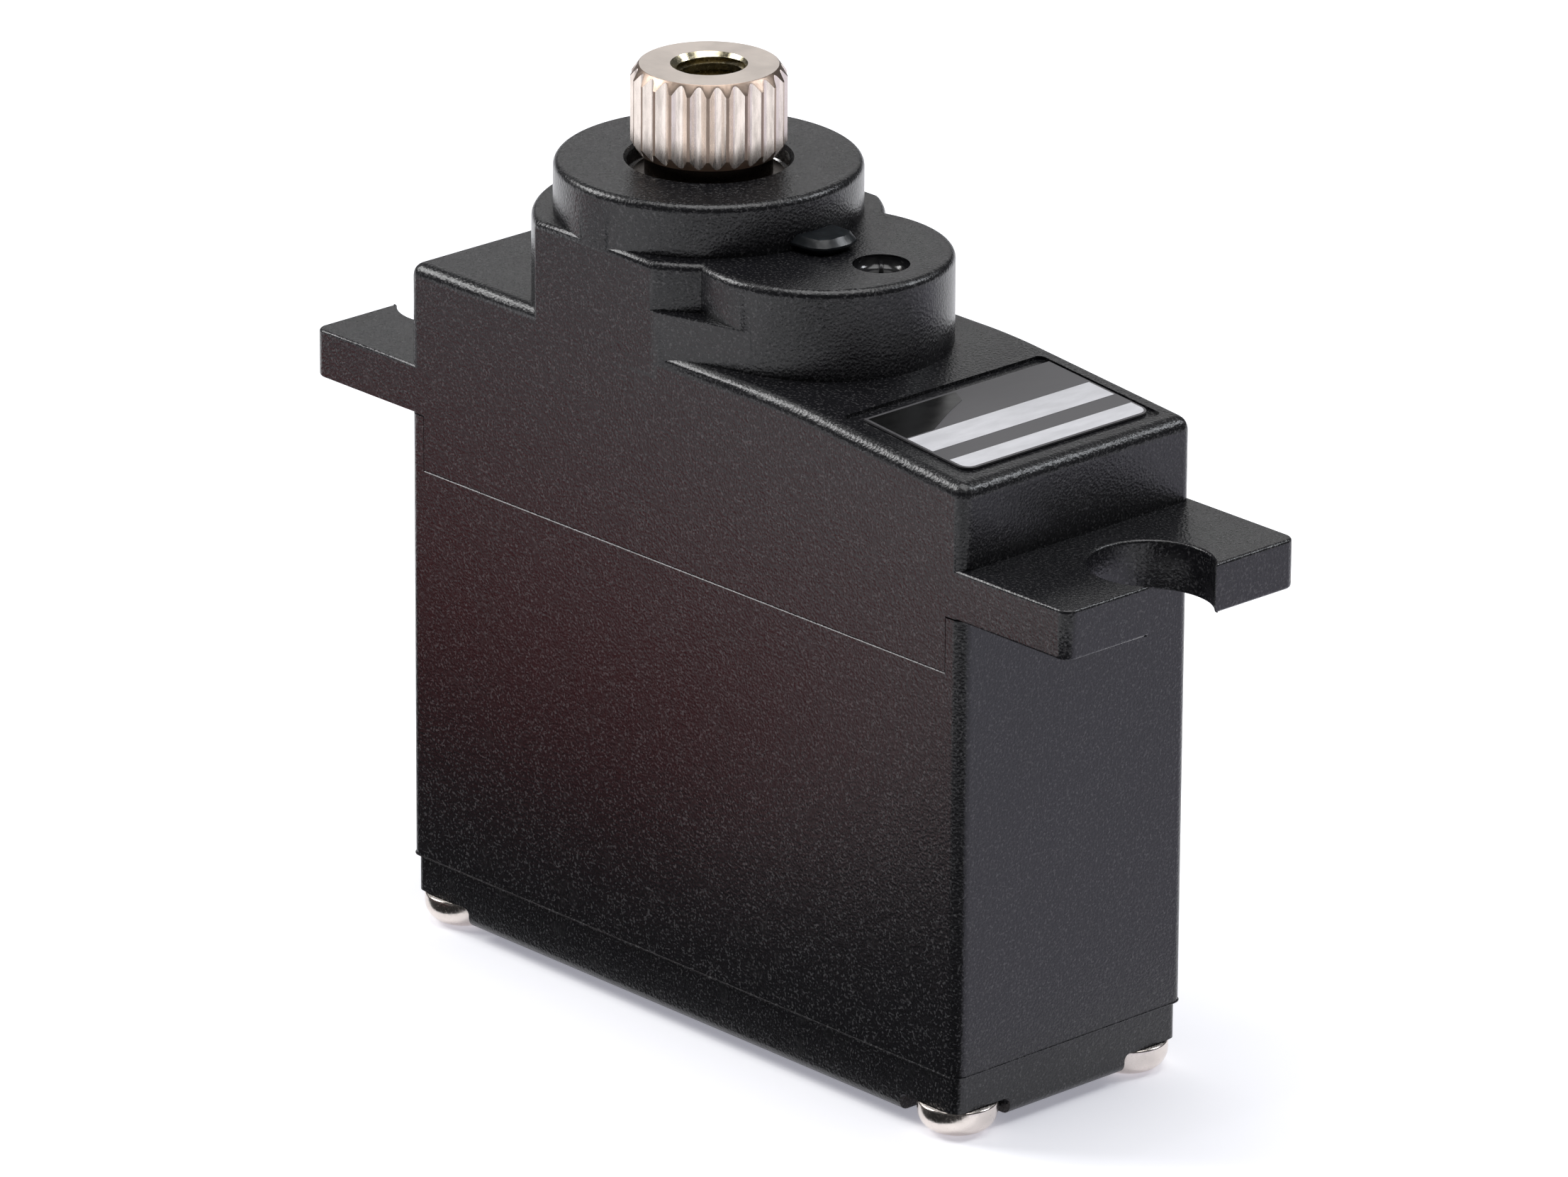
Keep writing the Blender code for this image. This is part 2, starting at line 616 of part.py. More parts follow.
def make_gears():
    rod("gear_pin", (PIN_X, 0), PIN_R, (GEAR_FLOOR - 0.90, PIN_TOP), STEEL)
    motor_p, first_w, fine = MOTOR_STAGE
    mid_p, mid_w, mid = MIDDLE_STAGE
    out_p, out_w, coarse = OUTPUT_STAGE
    compound_gear("first_gear", PIN_X, ((first_w, fine), (mid_p, mid)), (FIRST_WHEEL, FIRST_PINION),
                  (0, pi), PIN_R + RUN, (BRASS, STEEL))
    compound_gear("second_gear", OUTPUT_X, ((mid_w, mid), (mid_p, mid)), (SECOND_WHEEL, SECOND_PINION),
                  (0, 0), POT_SHAFT_R + RUN, (BRASS, STEEL))
    compound_gear("third_gear", PIN_X, ((mid_w, mid), (out_p, coarse)), (THIRD_WHEEL, THIRD_PINION),
                  (pi, pi), PIN_R + RUN, (ALUMINIUM, STEEL))
    plate("motor_pinion", [pinion_outline(motor_p, fine, pi), circle(MOTOR_SHAFT_R + FIT, SMALL)],
          (FIRST_WHEEL[0] - 0.2, FIRST_WHEEL[1] + 0.3), BRASS, (MOTOR_X, 0))
    make_output_shaft(out_w, coarse)


def make_output_shaft(teeth, module):
    """The output gear, its journal and its spline, in one piece."""
    low, high = OUTPUT_GEAR
    shaft = plate("output_shaft", [wheel_outline(teeth, module, 0)], (low, high), NICKEL, (OUTPUT_X, 0))
    profile = [(0, SPLINE_BOTTOM + 0.3), (NECK_R, SPLINE_BOTTOM + 0.3), (NECK_R, DISC_TOP - 0.2),
               (JOURNAL_R - 0.15, DISC_TOP - 0.25), (JOURNAL_R, DISC_TOP - 0.4), (JOURNAL_R, high + 0.4),
               (3.45, high + 0.38), (3.45, high - 0.5), (0, high - 0.5)]
    join(shaft, turned("journal", profile, NICKEL, (OUTPUT_X, 0), 36))
    join(shaft, make_spline())
    sink = [(0, SPLINE_TOP + 0.5), (BORE_R + 0.71, SPLINE_TOP + 0.5), (BORE_R, SPLINE_TOP - 0.21),
            (BORE_R, BORE_FLOOR + 0.5), (0, BORE_FLOOR)]
    cut(shaft, turned("spline_bore", sink, NICKEL, (OUTPUT_X, 0), FINE))
    flat = POT_SHAFT_R * 0.55 + FIT
    socket_r = POT_SHAFT_R + FIT
    edge = degrees_of(acos(flat / socket_r))
    cut(shaft, plate("shaft_socket", [arc((0, 0), socket_r, edge, 360 - edge, 20)], (low - 1, high + 0.1),
                     NICKEL, (OUTPUT_X, 0)))
    return smooth(shaft)


def make_spline():
    points = []
    tooth = ((SPLINE_ROOT_R, -0.4), (SPLINE_R, -0.13), (SPLINE_R, 0.13), (SPLINE_ROOT_R, 0.4))
    for i in range(SPLINE_TEETH):
        for radius, part in tooth:
            turn = 2 * pi * (i + part) / SPLINE_TEETH
            points.append((radius * cos(turn), radius * sin(turn)))
    spline = plate("spline", [points], (SPLINE_BOTTOM, SPLINE_TOP), NICKEL, (OUTPUT_X, 0))
    outer = SPLINE_R + 0.05
    profile = [(0, SPLINE_TOP), (SPLINE_END_R, SPLINE_TOP), (outer, SPLINE_TOP - SPLINE_CHAMFER),
               (outer, SPLINE_BOTTOM + SPLINE_CHAMFER), (SPLINE_END_R, SPLINE_BOTTOM), (0, SPLINE_BOTTOM)]
    return keep(spline, turned("spline_chamfers", profile, NICKEL, (OUTPUT_X, 0), SPLINE_TEETH))


def make_bearing():
    """A ball bearing: two grooved rings, a cage and its balls."""
    low, high = BEARING
    middle = (low + high) / 2
    centre = (OUTPUT_X, 0)
    groove_r = BALL_R + 0.05
    inner_r, outer_r = 3.58, 4.42
    bite = degrees_of(acos((BALL_CIRCLE_R - inner_r) / groove_r))
    inner = arc((BALL_CIRCLE_R, middle), groove_r, 180 - bite, 180 + bite, 4)
    turned("bearing_inner_ring", [(BEARING_BORE_R, high), (inner_r, high), *inner, (inner_r, low),
                                  (BEARING_BORE_R, low)], STEEL, centre, 36, ring=True)
    outer = arc((BALL_CIRCLE_R, middle), groove_r, -bite, bite, 4)
    outside = [(outer_r, high), (BEARING_R, high), (BEARING_R, low), (outer_r, low)]
    turned("bearing_outer_ring", outside + outer, STEEL, centre, 36, ring=True)
    cage = turned("bearing_cage", [(3.70, middle + 0.95), (4.30, middle + 0.95), (4.30, middle - 0.25),
                                   (3.70, middle - 0.25)], BRASS, centre, 35, ring=True)
    for i in range(BALLS):
        turn = 2 * pi * (i + 0.5) / BALLS
        place = (OUTPUT_X + BALL_CIRCLE_R * cos(turn), BALL_CIRCLE_R * sin(turn), middle)
        make_ball(f"bearing_ball_{i + 1}", place, BALL_R, 8)
        pocket = make_ball(f"cage_pocket_{i + 1}", place, BALL_R + 0.07, 10)
        cut(cage, pocket)


def make_ball(name, place, radius, steps):
    model = bmesh.new()
    bmesh.ops.create_uvsphere(model, u_segments=steps, v_segments=steps // 2 + 1, radius=radius * MM)
    ball = add_object(name, mesh_from(name, model), STEEL)
    ball.location = Vector(place) * MM
    ball.data.shade_smooth()
    return ball


# ---------------------------------------------------------------- motor

def flat_sided(radius, flat, steps=10):
    """A circle cut by two flats parallel to X."""
    edge = degrees_of(atan2(flat, sqrt(radius * radius - flat * flat)))
    return arc((0, 0), radius, -edge, edge, steps) + arc((0, 0), radius, 180 - edge, 180 + edge, steps)


def make_motor():
    centre = (MOTOR_X, 0)
    can = plate("motor_can", [flat_sided(CAN_R, CAN_FLAT)], (CAN_BOTTOM, CAN_TOP), NICKEL, centre)
    cut(can, plate("can_room", [flat_sided(CAN_R - CAN_WALL, CAN_FLAT - CAN_WALL)],
                   (CAN_BOTTOM - 1, CAN_TOP - CAN_WALL), NICKEL, centre))
    cut(can, rod("can_nose", centre, NOSE_R + FIT, (CAN_TOP - 2, CAN_TOP + 1), NICKEL))
    make_bushing("motor_front_bushing", NOSE_R, FRONT_BUSHING)
    make_bushing("motor_rear_bushing", REAR_BUSHING_R, REAR_BUSHING)
    hole = circle(REAR_BUSHING_R + FIT)
    cap = plate("motor_end_cap", [flat_sided(CAN_R - CAN_WALL - FIT, CAN_FLAT - CAN_WALL - FIT), hole],
                (CAP_BOTTOM + 0.1, CAN_BOTTOM + 0.4), WHITE_PLASTIC, centre)
    flange = plate("cap_flange", [flat_sided(CAN_R, CAN_FLAT), hole], (CAP_BOTTOM, CAN_BOTTOM - FIT),
                   WHITE_PLASTIC, centre)
    join(cap, flange)
    make_magnets(centre)
    make_rotor(centre)
    make_brushes(cap)


def make_bushing(name, radius, z):
    bore = MOTOR_SHAFT_R + RUN
    profile = [(bore, z[1]), (radius, z[1]), (radius, z[0]), (bore, z[0])]
    turned(name, profile, BRASS, (MOTOR_X, 0), FINE, ring=True)


def make_magnets(centre):
    """Two arc magnets on the can's round walls."""
    outer, inner, half = CAN_R - CAN_WALL - FIT, ROTOR_R + AIR_GAP, 48
    for i, turn in enumerate((0, 180)):
        outline = arc((0, 0), outer, turn - half, turn + half, 12)
        outline += arc((0, 0), inner, turn + half, turn - half, 12)
        plate(f"magnet_{i + 1}", [outline], (CORE[0] - 0.8, CORE[1] + 0.9), MAGNET, centre)


def make_rotor(centre):
    """Shaft, three-pole core, three coils and the commutator."""
    rod("motor_shaft", centre, MOTOR_SHAFT_R, (CAP_BOTTOM - 0.1, FIRST_WHEEL[1] + 0.5), STEEL, SMALL)
    low, high = CORE
    reach = degrees_of(atan2(NECK_HALF, HUB_R))
    root_r = sqrt(NECK_HALF ** 2 + HUB_R ** 2)
    lean = degrees_of(atan2(NECK_HALF, SHOE_R))
    outline = []
    for pole in POLES:
        outline += [polar(root_r, pole - reach), polar(SHOE_R, pole - lean), polar(SHOE_R, pole - 50)]
        outline += arc((0, 0), ROTOR_R, pole - 50, pole + 50, 8)
        outline += [polar(SHOE_R, pole + 50), polar(SHOE_R, pole + lean), polar(root_r, pole + reach)]
    hole = circle(MOTOR_SHAFT_R + FIT, SMALL)
    plate("rotor_core", [outline, hole], (low, high), IRON, centre)
    for i, pole in enumerate(POLES):
        make_coil(f"rotor_coil_{i + 1}", pole, centre)
    ends = (REAR_BUSHING[1] + 0.25, CORE[0] - 0.40)
    plate("commutator", [circle(COMMUTATOR_R), hole], ends, COPPER, centre)


def polar(radius, degrees):
    return (radius * cos(radians(degrees)), radius * sin(radians(degrees)))


def make_coil(name, pole, centre):
    """A winding around one pole's neck, drawn as a rounded frame."""
    low, high = CORE
    wide = NECK_HALF + 0.55
    coil = bevel(block(name, (1.50, 2.45), (-wide, wide), (low - 0.55, high + 0.55), COPPER), 0.20, 2)
    inside = NECK_HALF + FIT
    neck = block(name + "_neck", (0.5, 3.5), (-inside, inside), (low - FIT, high + FIT), COPPER)
    cut(coil, neck)
    place_on(neck, centre, pole)
    place_on(coil, centre, pole)


def place_on(item, centre, degrees):
    item.location = (centre[0] * MM, centre[1] * MM, 0)
    item.rotation_euler = (0, 0, radians(degrees))


def make_brushes(cap):
    """Spring-leaf brushes on the commutator and the terminals that pass through the cap."""
    for i, side in enumerate((-1, 1)):
        x = MOTOR_X + side * BRUSH_X
        cut(cap, block(f"terminal_slot_{i}", (x - 0.33, x + 0.33), (-0.68, 0.68), (3, 8), WHITE_PLASTIC))
        terminal = block(f"brush_terminal_{i + 1}", (x - 0.30, x + 0.30), (-0.65, 0.65),
                         (BOARD[1] + 0.05, 7.10), BRASS)
        leaf = sorted((x, MOTOR_X + side * (COMMUTATOR_R + 0.05)))
        join(terminal, block(f"brush_leaf_{i}", leaf, (-0.45, 0.45), (6.85, 8.00), BRASS))


# ---------------------------------------------------------------- potentiometer and electronics

def make_potentiometer():
    centre = (OUTPUT_X, 0)
    low, high = POT
    inner = POT_R - POT_WALL
    shell = [(POT_SHAFT_R + RUN, POT_NECK_TOP), (POT_NECK_R, POT_NECK_TOP), (POT_NECK_R, high),
             (POT_R - 0.2, high), (POT_R, high - 0.2), (POT_R, low), (inner, low), (inner, high - 0.6),
             (POT_SHAFT_R + RUN, high - 0.6)]
    turned("potentiometer_housing", shell, GREY_PLASTIC, centre, 32, ring=True)
    element = plate("potentiometer_element", [circle(inner - FIT, 32), circle(1.10, SMALL)],
                    (low, low + 0.8), BLACK_PLASTIC, centre)
    shaft = plate("potentiometer_shaft", [circle(POT_SHAFT_R, SMALL)], (low + 0.2, OUTPUT_GEAR[1] - 0.15),
                  STEEL, centre)
    flat = POT_SHAFT_R * 0.55
    cut(shaft, block("shaft_flat", (OUTPUT_X + flat, OUTPUT_X + 2), (-2, 2), (SECOND_PINION[1] + 0.3, 30),
                     STEEL))
    arm = [rectangle((-1.6, 3.1), (-0.8, 0.8)), circle(POT_SHAFT_R + FIT, SMALL)]
    plate("potentiometer_wiper", arm, (low + 0.95, low + 1.45), BRASS, centre)
    for i, y in enumerate((-LEAD_PITCH, 0, LEAD_PITCH)):
        x = OUTPUT_X - LEAD_X
        cut(element, rod(f"lead_hole_{i}", (x, y), 0.25, (low - 1, low + 2), BRASS, 8))
        rod(f"potentiometer_lead_{i + 1}", (x, y), 0.21, (BOARD[1] + 0.05, low + 0.6), BRASS, 8)


def make_board():
    outline = rectangle((-BOARD_L, BOARD_L), (-BOARD_W, BOARD_W))
    plate("circuit_board", [outline], BOARD, BOARD_GREEN)
    low = BOARD[1] + FIT
    bevel(block("control_chip", (-3.4, 0.4), (-2.4, 2.4), (low, low + 1.0), BLACK_PLASTIC), 0.1, 1)
    for i, y in enumerate((-2.55, 2.55)):
        chip = block(f"driver_chip_{i + 1}", (6.0, 8.6), (y - 1.9, y + 1.9), (low, low + 1.2), BLACK_PLASTIC)
        bevel(chip, 0.1, 1)
    rod("bulk_capacitor", (-10.0, 0), 1.9, (low, low + 4.8), ALUMINIUM)
    for i, x in enumerate((1.0, 11.4)):
        block(f"chip_capacitor_{i + 1}", (x, x + 0.8), (-0.8, 0.8), (low, low + 0.75), GREY_PLASTIC)


make_top_case()
make_label()
make_middle_case()
make_bottom_cover()
make_screws()
make_grommet()
make_gears()
make_bearing()
make_motor()
make_potentiometer()
make_board()
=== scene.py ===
"""Looks of the micro servo motor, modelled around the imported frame.

Shapes are worked out in millimetres in the frame's own axes and made in metres: X runs along the
case towards the label, Z is up the output shaft. The outside of the servo is modelled again with
moulded roundings, a printed label, a fine spline with a threaded bore, and screws with a driver
recess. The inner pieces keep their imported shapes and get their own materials.
"""
import json
from math import acos, asin, atan2, cos, pi, radians, sin, sqrt, tan

import bmesh
import bpy
from mathutils import Matrix, Vector


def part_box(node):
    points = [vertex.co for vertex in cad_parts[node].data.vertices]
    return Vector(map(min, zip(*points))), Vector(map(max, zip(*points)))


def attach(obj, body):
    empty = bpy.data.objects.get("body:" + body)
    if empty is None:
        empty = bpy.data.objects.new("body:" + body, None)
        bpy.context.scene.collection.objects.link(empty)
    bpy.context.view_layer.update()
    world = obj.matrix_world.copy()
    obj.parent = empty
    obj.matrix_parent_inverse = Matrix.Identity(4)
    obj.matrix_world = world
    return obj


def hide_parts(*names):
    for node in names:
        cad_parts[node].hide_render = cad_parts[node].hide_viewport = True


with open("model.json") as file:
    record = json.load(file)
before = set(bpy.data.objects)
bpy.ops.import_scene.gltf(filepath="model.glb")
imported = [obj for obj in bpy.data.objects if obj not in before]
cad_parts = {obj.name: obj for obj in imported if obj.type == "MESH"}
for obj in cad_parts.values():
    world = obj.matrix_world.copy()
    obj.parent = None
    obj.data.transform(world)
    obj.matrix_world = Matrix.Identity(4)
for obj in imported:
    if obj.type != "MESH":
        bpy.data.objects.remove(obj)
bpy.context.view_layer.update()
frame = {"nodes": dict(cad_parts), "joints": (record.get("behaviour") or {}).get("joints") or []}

MM = 0.001
FIT = 0.03          # gap left between pieces that touch on the real servo

# ---------------------------------------------------------------- places, from the frame


def node_box(node):
    """Lowest and highest corners of a node, in millimetres."""
    low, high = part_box(node)
    return [value / MM for value in low], [value / MM for value in high]


def axis_x(joint):
    """Where a joint's upright axis crosses X, in millimetres."""
    for each in frame["joints"]:
        if each["name"] == joint:
            return each["pos_m"][0] / MM
    raise KeyError(joint)


OUTPUT_X = axis_x("output_turn")
PIN_X = axis_x("third_gear_turn")
MOTOR_X = axis_x("rotor_turn")
MIDDLE_LOW, MIDDLE_HIGH = node_box("middle_case")
TOP_LOW, TOP_HIGH = node_box("top_case")
COVER_LOW, COVER_HIGH = node_box("bottom_cover")
SHAFT_LOW, SHAFT_HIGH = node_box("output_shaft")
HALF_L = MIDDLE_HIGH[0]
HALF_W = MIDDLE_HIGH[1]
TAB_END = TOP_HIGH[0]
COVER_SEAM = MIDDLE_LOW[2]
TOP_SEAM = TOP_LOW[2]
DISC_TOP = TOP_HIGH[2]
SPLINE_TOP = SHAFT_HIGH[2]
TAB_THICKNESS = 1.94
TAB_BOTTOM = MIDDLE_HIGH[2] + FIT
TAB_TOP = TAB_BOTTOM + TAB_THICKNESS

# Cutters reach past the tabs, the case's ends and its long faces
PAST_TABS = (-21, 21)
PAST_ENDS = (-17, 17)
PAST_FACES = (-7, 7)

# Top case
DECK = 26.80
LABEL_END = 25.95
CREASE_X = 5.90
CREASE_REACH = 1.50
WEB_TOP = 28.45
BOSS_TOP = 30.30
OUTPUT_BOSS_R = 6.66
GEAR_BOSS_R = 4.95
DISC_R = 5.85
DISC_HOLE_R = 3.09
TAB_HOLE_X = 19.07
TAB_HOLE_R = 2.35
TAB_CORNER_R = 0.50
SKIRT_END = 14.40
WEB_LEAN = radians(15)
CASE_ROUND = 0.52
DIMPLE = (4.20, 0.42)               # its centre
DIMPLE_R = 1.08
DIMPLE_DEPTH = 0.50
RECESS = (7.95, 14.45, 5.05)        # start, end and half width
RECESS_DEPTH = 0.14
LABEL = (8.50, 14.00, 4.72)         # start, end and half width
LABEL_SHIFT = 0.25
LABEL_CORNER = 0.50
BAND_1 = (10.75, 12.10)
BAND_2_START = 13.0
BAND_MARGIN = 0.10
CASE_WALL = 0.80
END_WALL = 0.85
SEAM_CHAMFER = 0.036
FLASH_REACH = 0.03
FLASH_ROOT = 0.3
FLASH_ROUND = 0.025
LUG_OUTLINE = [(0.0, -0.95), (0.75, -1.15), (2.15, -0.95), (2.50, -0.35), (2.50, 0.70), (2.05, 1.20),
               (0.0, 1.20)]
LUG_HEIGHT = 0.60
LUG_ROUND = 0.26

# Room for the works; a pair of heights is bottom and top
POST = (12.50, 3.15)                # inner corner of a screw post
ROOM_TOP = 25.20
GEAR_FLOOR = 19.10
PLATE_BOTTOM = 17.90
GEAR_ROOM_R = 5.08
GEAR_ROOM_TOP = 28.40
PINION_ROOM_R = 2.50
PINION_ROOM_TOP = 28.50
PIN_HOLE_R = 0.53
PIN_SOCKET = (28.00, 29.55)
BEARING_SEAT_R = 5.03
BEARING_SEAT = (28.05, 31.68)
DISC_HOLE_LOW = 30.6
MOTOR_NOSE_R = 1.75
POT_NECK_R = 1.65

# Cover, screws and grommet
COVER_INSET = HALF_W - COVER_HIGH[1]
POCKET = (3.20, 2.90)               # length and width
POCKET_FLOOR = 1.20
COVER_FLOOR = 1.50
RIB_X = 9
RIB_HEIGHTS = (1.30, 2.12)
PANEL = (11.0, 4.4, 0.8)            # half length, half width and corner radius
PANEL_DEPTH = 0.12
SCREW_INSET = 1.45
SCREW_HEAD_R = 1.52
SCREW_HEAD_H = 1.17
SCREW_DOME = 0.80
SCREW_R = 0.60
SHANK_R = SCREW_R - 0.12            # between the neck under the head and the tip
SCREW_TOP = 23.40
CROSS = (0.82, 0.15, 0.55)          # half length, half width and depth of the driver recess
CORD_SLOT = (1.65, 0.55)            # half length and half width
INLET = (1.85, 2.30, 4.60)          # depth, half width and top of the notch for the grommet

# Output shaft
SPLINE_TEETH = 25
SPLINE_R = 2.95
SPLINE_ROOT_R = 2.70
SPLINE_END_R = 2.66
SPLINE_BOTTOM = 32.62
SPLINE_CHAMFER = 0.46
CREST = 0.10                        # half a crest and half a groove, in steps from tooth to tooth
GROOVE = 0.40
GROOVE_SHAPE = 0.9                  # below 1 the grooves have steeper sides and flatter bottoms
NECK_R = 2.42
BORE_R = 1.25
BORE_MOUTH_R = 1.46
BORE_END = 29.6
THREAD_PITCH = 0.50
THREAD_TURNS = 9
THREAD_DEPTH = 0.25
JOURNAL_R = 2.98
COLLAR_R = 3.45
SOCKET_R = 0.83                     # for the potentiometer's shaft, with a flat
SOCKET_FLAT = 0.47
SOCKET_TOP = 28.30
OUTPUT_GEAR = (SHAFT_LOW[2], SHAFT_LOW[2] + 2.60)
GEAR_TEETH = 26
GEAR_MODULE = 0.35
PRESSURE_ANGLE = radians(20)
ADDENDUM = 0.8                      # these three in modules
DEDENDUM = 1.15
TOOTH_THINNING = 0.14

# Bearing; a ring is its inner and outer radius
INNER_RING = (3.00, 3.58)
OUTER_RING = (4.42, 5.00)
BALL_CIRCLE_R = 4.00
GROOVE_R = 0.63
GROOVE_REACH = 0.42                 # from the balls' circle to where a ring cuts its groove
RING_ROUND = 0.12

TURN = 128          # steps of a full turn on large round shapes
SMALL_TURN = 64     # and on small ones


# ---------------------------------------------------------------- camera, lights and floor

AZIMUTH = radians(47.070)
ELEVATION = radians(20.677)
ROLL = radians(0.344)
DISTANCE = 0.46993
AIM = Vector((-0.003551, 0.002805, 0.014659))
LENS = 283.48

AMBIENT = 0.07
FLOOR_Z = -0.00002
CARD_Z = 0.0002
# Cards that only reflections see: the black ones paint shade into what the near faces reflect, the red one
# paints a red reflection on the near face, the pale glowing ones paint bright reflections
CARDS = (       # name, extent in X and Y, glow
    ("near_shade_card", (-0.062, 0.018), (-0.021, -0.0065), (0.0, 0.0, 0.0)),
    ("red_reflection_card", (-0.075, -0.012), (-0.042, -0.021), (0.50, 0.03, 0.03)),
    ("left_reflection_card", (-0.160, -0.050), (-0.120, -0.042), (0.52, 0.51, 0.54)),
    ("front_shade_card", (0.018, 0.065), (-0.056, -0.0065), (0.0, 0.0, 0.0)),
    ("middle_shade_card", (-0.008, 0.018), (-0.056, -0.021), (0.0, 0.0, 0.0)),
    ("right_reflection_card", (0.020, 0.120), (-0.0065, 0.100), (0.80, 0.78, 0.92)),
)
SOFTBOXES = (   # name, place, size, power in watts, colour
    ("overhead", (0.02, 0.02, 0.55), (0.45, 0.45), 2.2, (1, 1, 1)),
    ("left", (-0.42, -0.22, 0.40), (0.26, 0.26), 2.2, (1, 1, 1)),
    ("back_right", (0.22, 0.40, 0.42), (0.14, 0.14), 0.9, (0.93, 0.96, 1.0)),
    ("back_left", (-0.52, 0.485, 0.325), (0.70, 0.27), 0.47, (1, 1, 1)),
)
LIGHT_TARGET = (0, 0, 0.016)


def add_camera():
    """The camera that took the photograph, as fitted to its edges."""
    back = Vector((sin(AZIMUTH) * cos(ELEVATION), -cos(AZIMUTH) * cos(ELEVATION), sin(ELEVATION)))
    right = Vector((cos(AZIMUTH), sin(AZIMUTH), 0))
    up = back.cross(right)
    level = Matrix((right, up, back)).transposed()
    camera = bpy.data.objects.new("camera", bpy.data.cameras.new("camera"))
    camera.data.lens = LENS
    camera.data.sensor_width = 36
    camera.data.clip_start = 0.01
    turned_level = (level @ Matrix.Rotation(ROLL, 3, "Z")).to_4x4()
    camera.matrix_world = Matrix.Translation(AIM + DISTANCE * back) @ turned_level
    bpy.context.scene.collection.objects.link(camera)
    bpy.context.scene.camera = camera


def add_softbox(name, place, size, power, colour):
    """A rectangular light aimed at the middle of the servo."""
    lamp = bpy.data.lights.new(name, "AREA")
    lamp.shape = "RECTANGLE"
    lamp.size, lamp.size_y = size
    lamp.energy = power
    lamp.color = colour
    box = bpy.data.objects.new(name, lamp)
    box.location = place
    box.rotation_euler = (Vector(LIGHT_TARGET) - Vector(place)).to_track_quat("-Z", "Y").to_euler()
    bpy.context.scene.collection.objects.link(box)


def flat_paint(name, colour, glow):
    """A dull even paint that may glow, for the floor and the cards."""
    paint = bpy.data.materials.new(name)
    paint.use_nodes = True
    shader = paint.node_tree.nodes["Principled BSDF"]
    shader.inputs["Base Color"].default_value = (*colour, 1)
    shader.inputs["Roughness"].default_value = 0.7
    shader.inputs["Specular IOR Level"].default_value = 0.1
    shader.inputs["Emission Color"].default_value = (*glow, 1)
    shader.inputs["Emission Strength"].default_value = 1.0
    return paint


def add_sheet(name, x, y, z, paint):
    """A flat rectangle of the stage."""
    mesh = bpy.data.meshes.new(name)
    corners = [(x[0], y[0], z), (x[1], y[0], z), (x[1], y[1], z), (x[0], y[1], z)]
    mesh.from_pydata(corners, [], [(0, 1, 2, 3)])
    mesh.materials.append(paint)
    sheet = bpy.data.objects.new(name, mesh)
    bpy.context.scene.collection.objects.link(sheet)
    return sheet


def add_stage():
    """White studio: a pale floor, softboxes, and cards that only reflections see; the black cards paint
    shade and the glowing cards paint reflections.
    """
    world = bpy.data.worlds.new("studio")
    world.use_nodes = True
    world.node_tree.nodes["Background"].inputs["Color"].default_value = (1.0, 1.0, 1.0, 1)
    world.node_tree.nodes["Background"].inputs["Strength"].default_value = AMBIENT
    bpy.context.scene.world = world
    floor_paint = flat_paint("pale_floor", (0.93, 0.93, 0.93), (0.30, 0.30, 0.34))
    add_sheet("floor", (-2, 2), (-2, 2), FLOOR_Z, floor_paint)
    # painted shade and painted reflections: the camera, diffuse light and shadows pass through these cards
    for name, x, y, glow in CARDS:
        card = add_sheet(name, x, y, CARD_Z, flat_paint(name, (0.01, 0.01, 0.01), glow))
        card.visible_camera = False
        card.visible_diffuse = False
        card.visible_shadow = False
    for softbox in SOFTBOXES:
        add_softbox(*softbox)
    bpy.context.scene.view_settings.view_transform = "Standard"


# ---------------------------------------------------------------- shaping helpers

def to_scene(name, mesh):
    item = bpy.data.objects.new(name, mesh)
    bpy.context.scene.collection.objects.link(item)
    return item


def settle(item):
    """Apply an object's modifiers."""
    view = bpy.context.evaluated_depsgraph_get()
    mesh = bpy.data.meshes.new_from_object(item.evaluated_get(view))
    item.modifiers.clear()
    item.data = mesh
    return item


def drop(item):
    """Remove a helper object from the scene."""
    bpy.data.objects.remove(item, do_unlink=True)


def arc(centre, radius, start, end, steps):
    """Points on an arc, from start to end in degrees."""
    turn = [radians(start + (end - start) * i / steps) for i in range(steps + 1)]
    return [(centre[0] + radius * cos(a), centre[1] + radius * sin(a)) for a in turn]


def degrees_of(angle):
    return angle * 180 / pi


def rounded_box(half_l, half_w, radius, steps=6):
    """Outline of a rectangle with round corners, about the origin."""
    x, y = half_l - radius, half_w - radius
    return [*arc((x, -y), radius, -90, 0, steps), *arc((x, y), radius, 0, 90, steps),
            *arc((-x, y), radius, 90, 180, steps), *arc((-x, -y), radius, 180, 270, steps)]


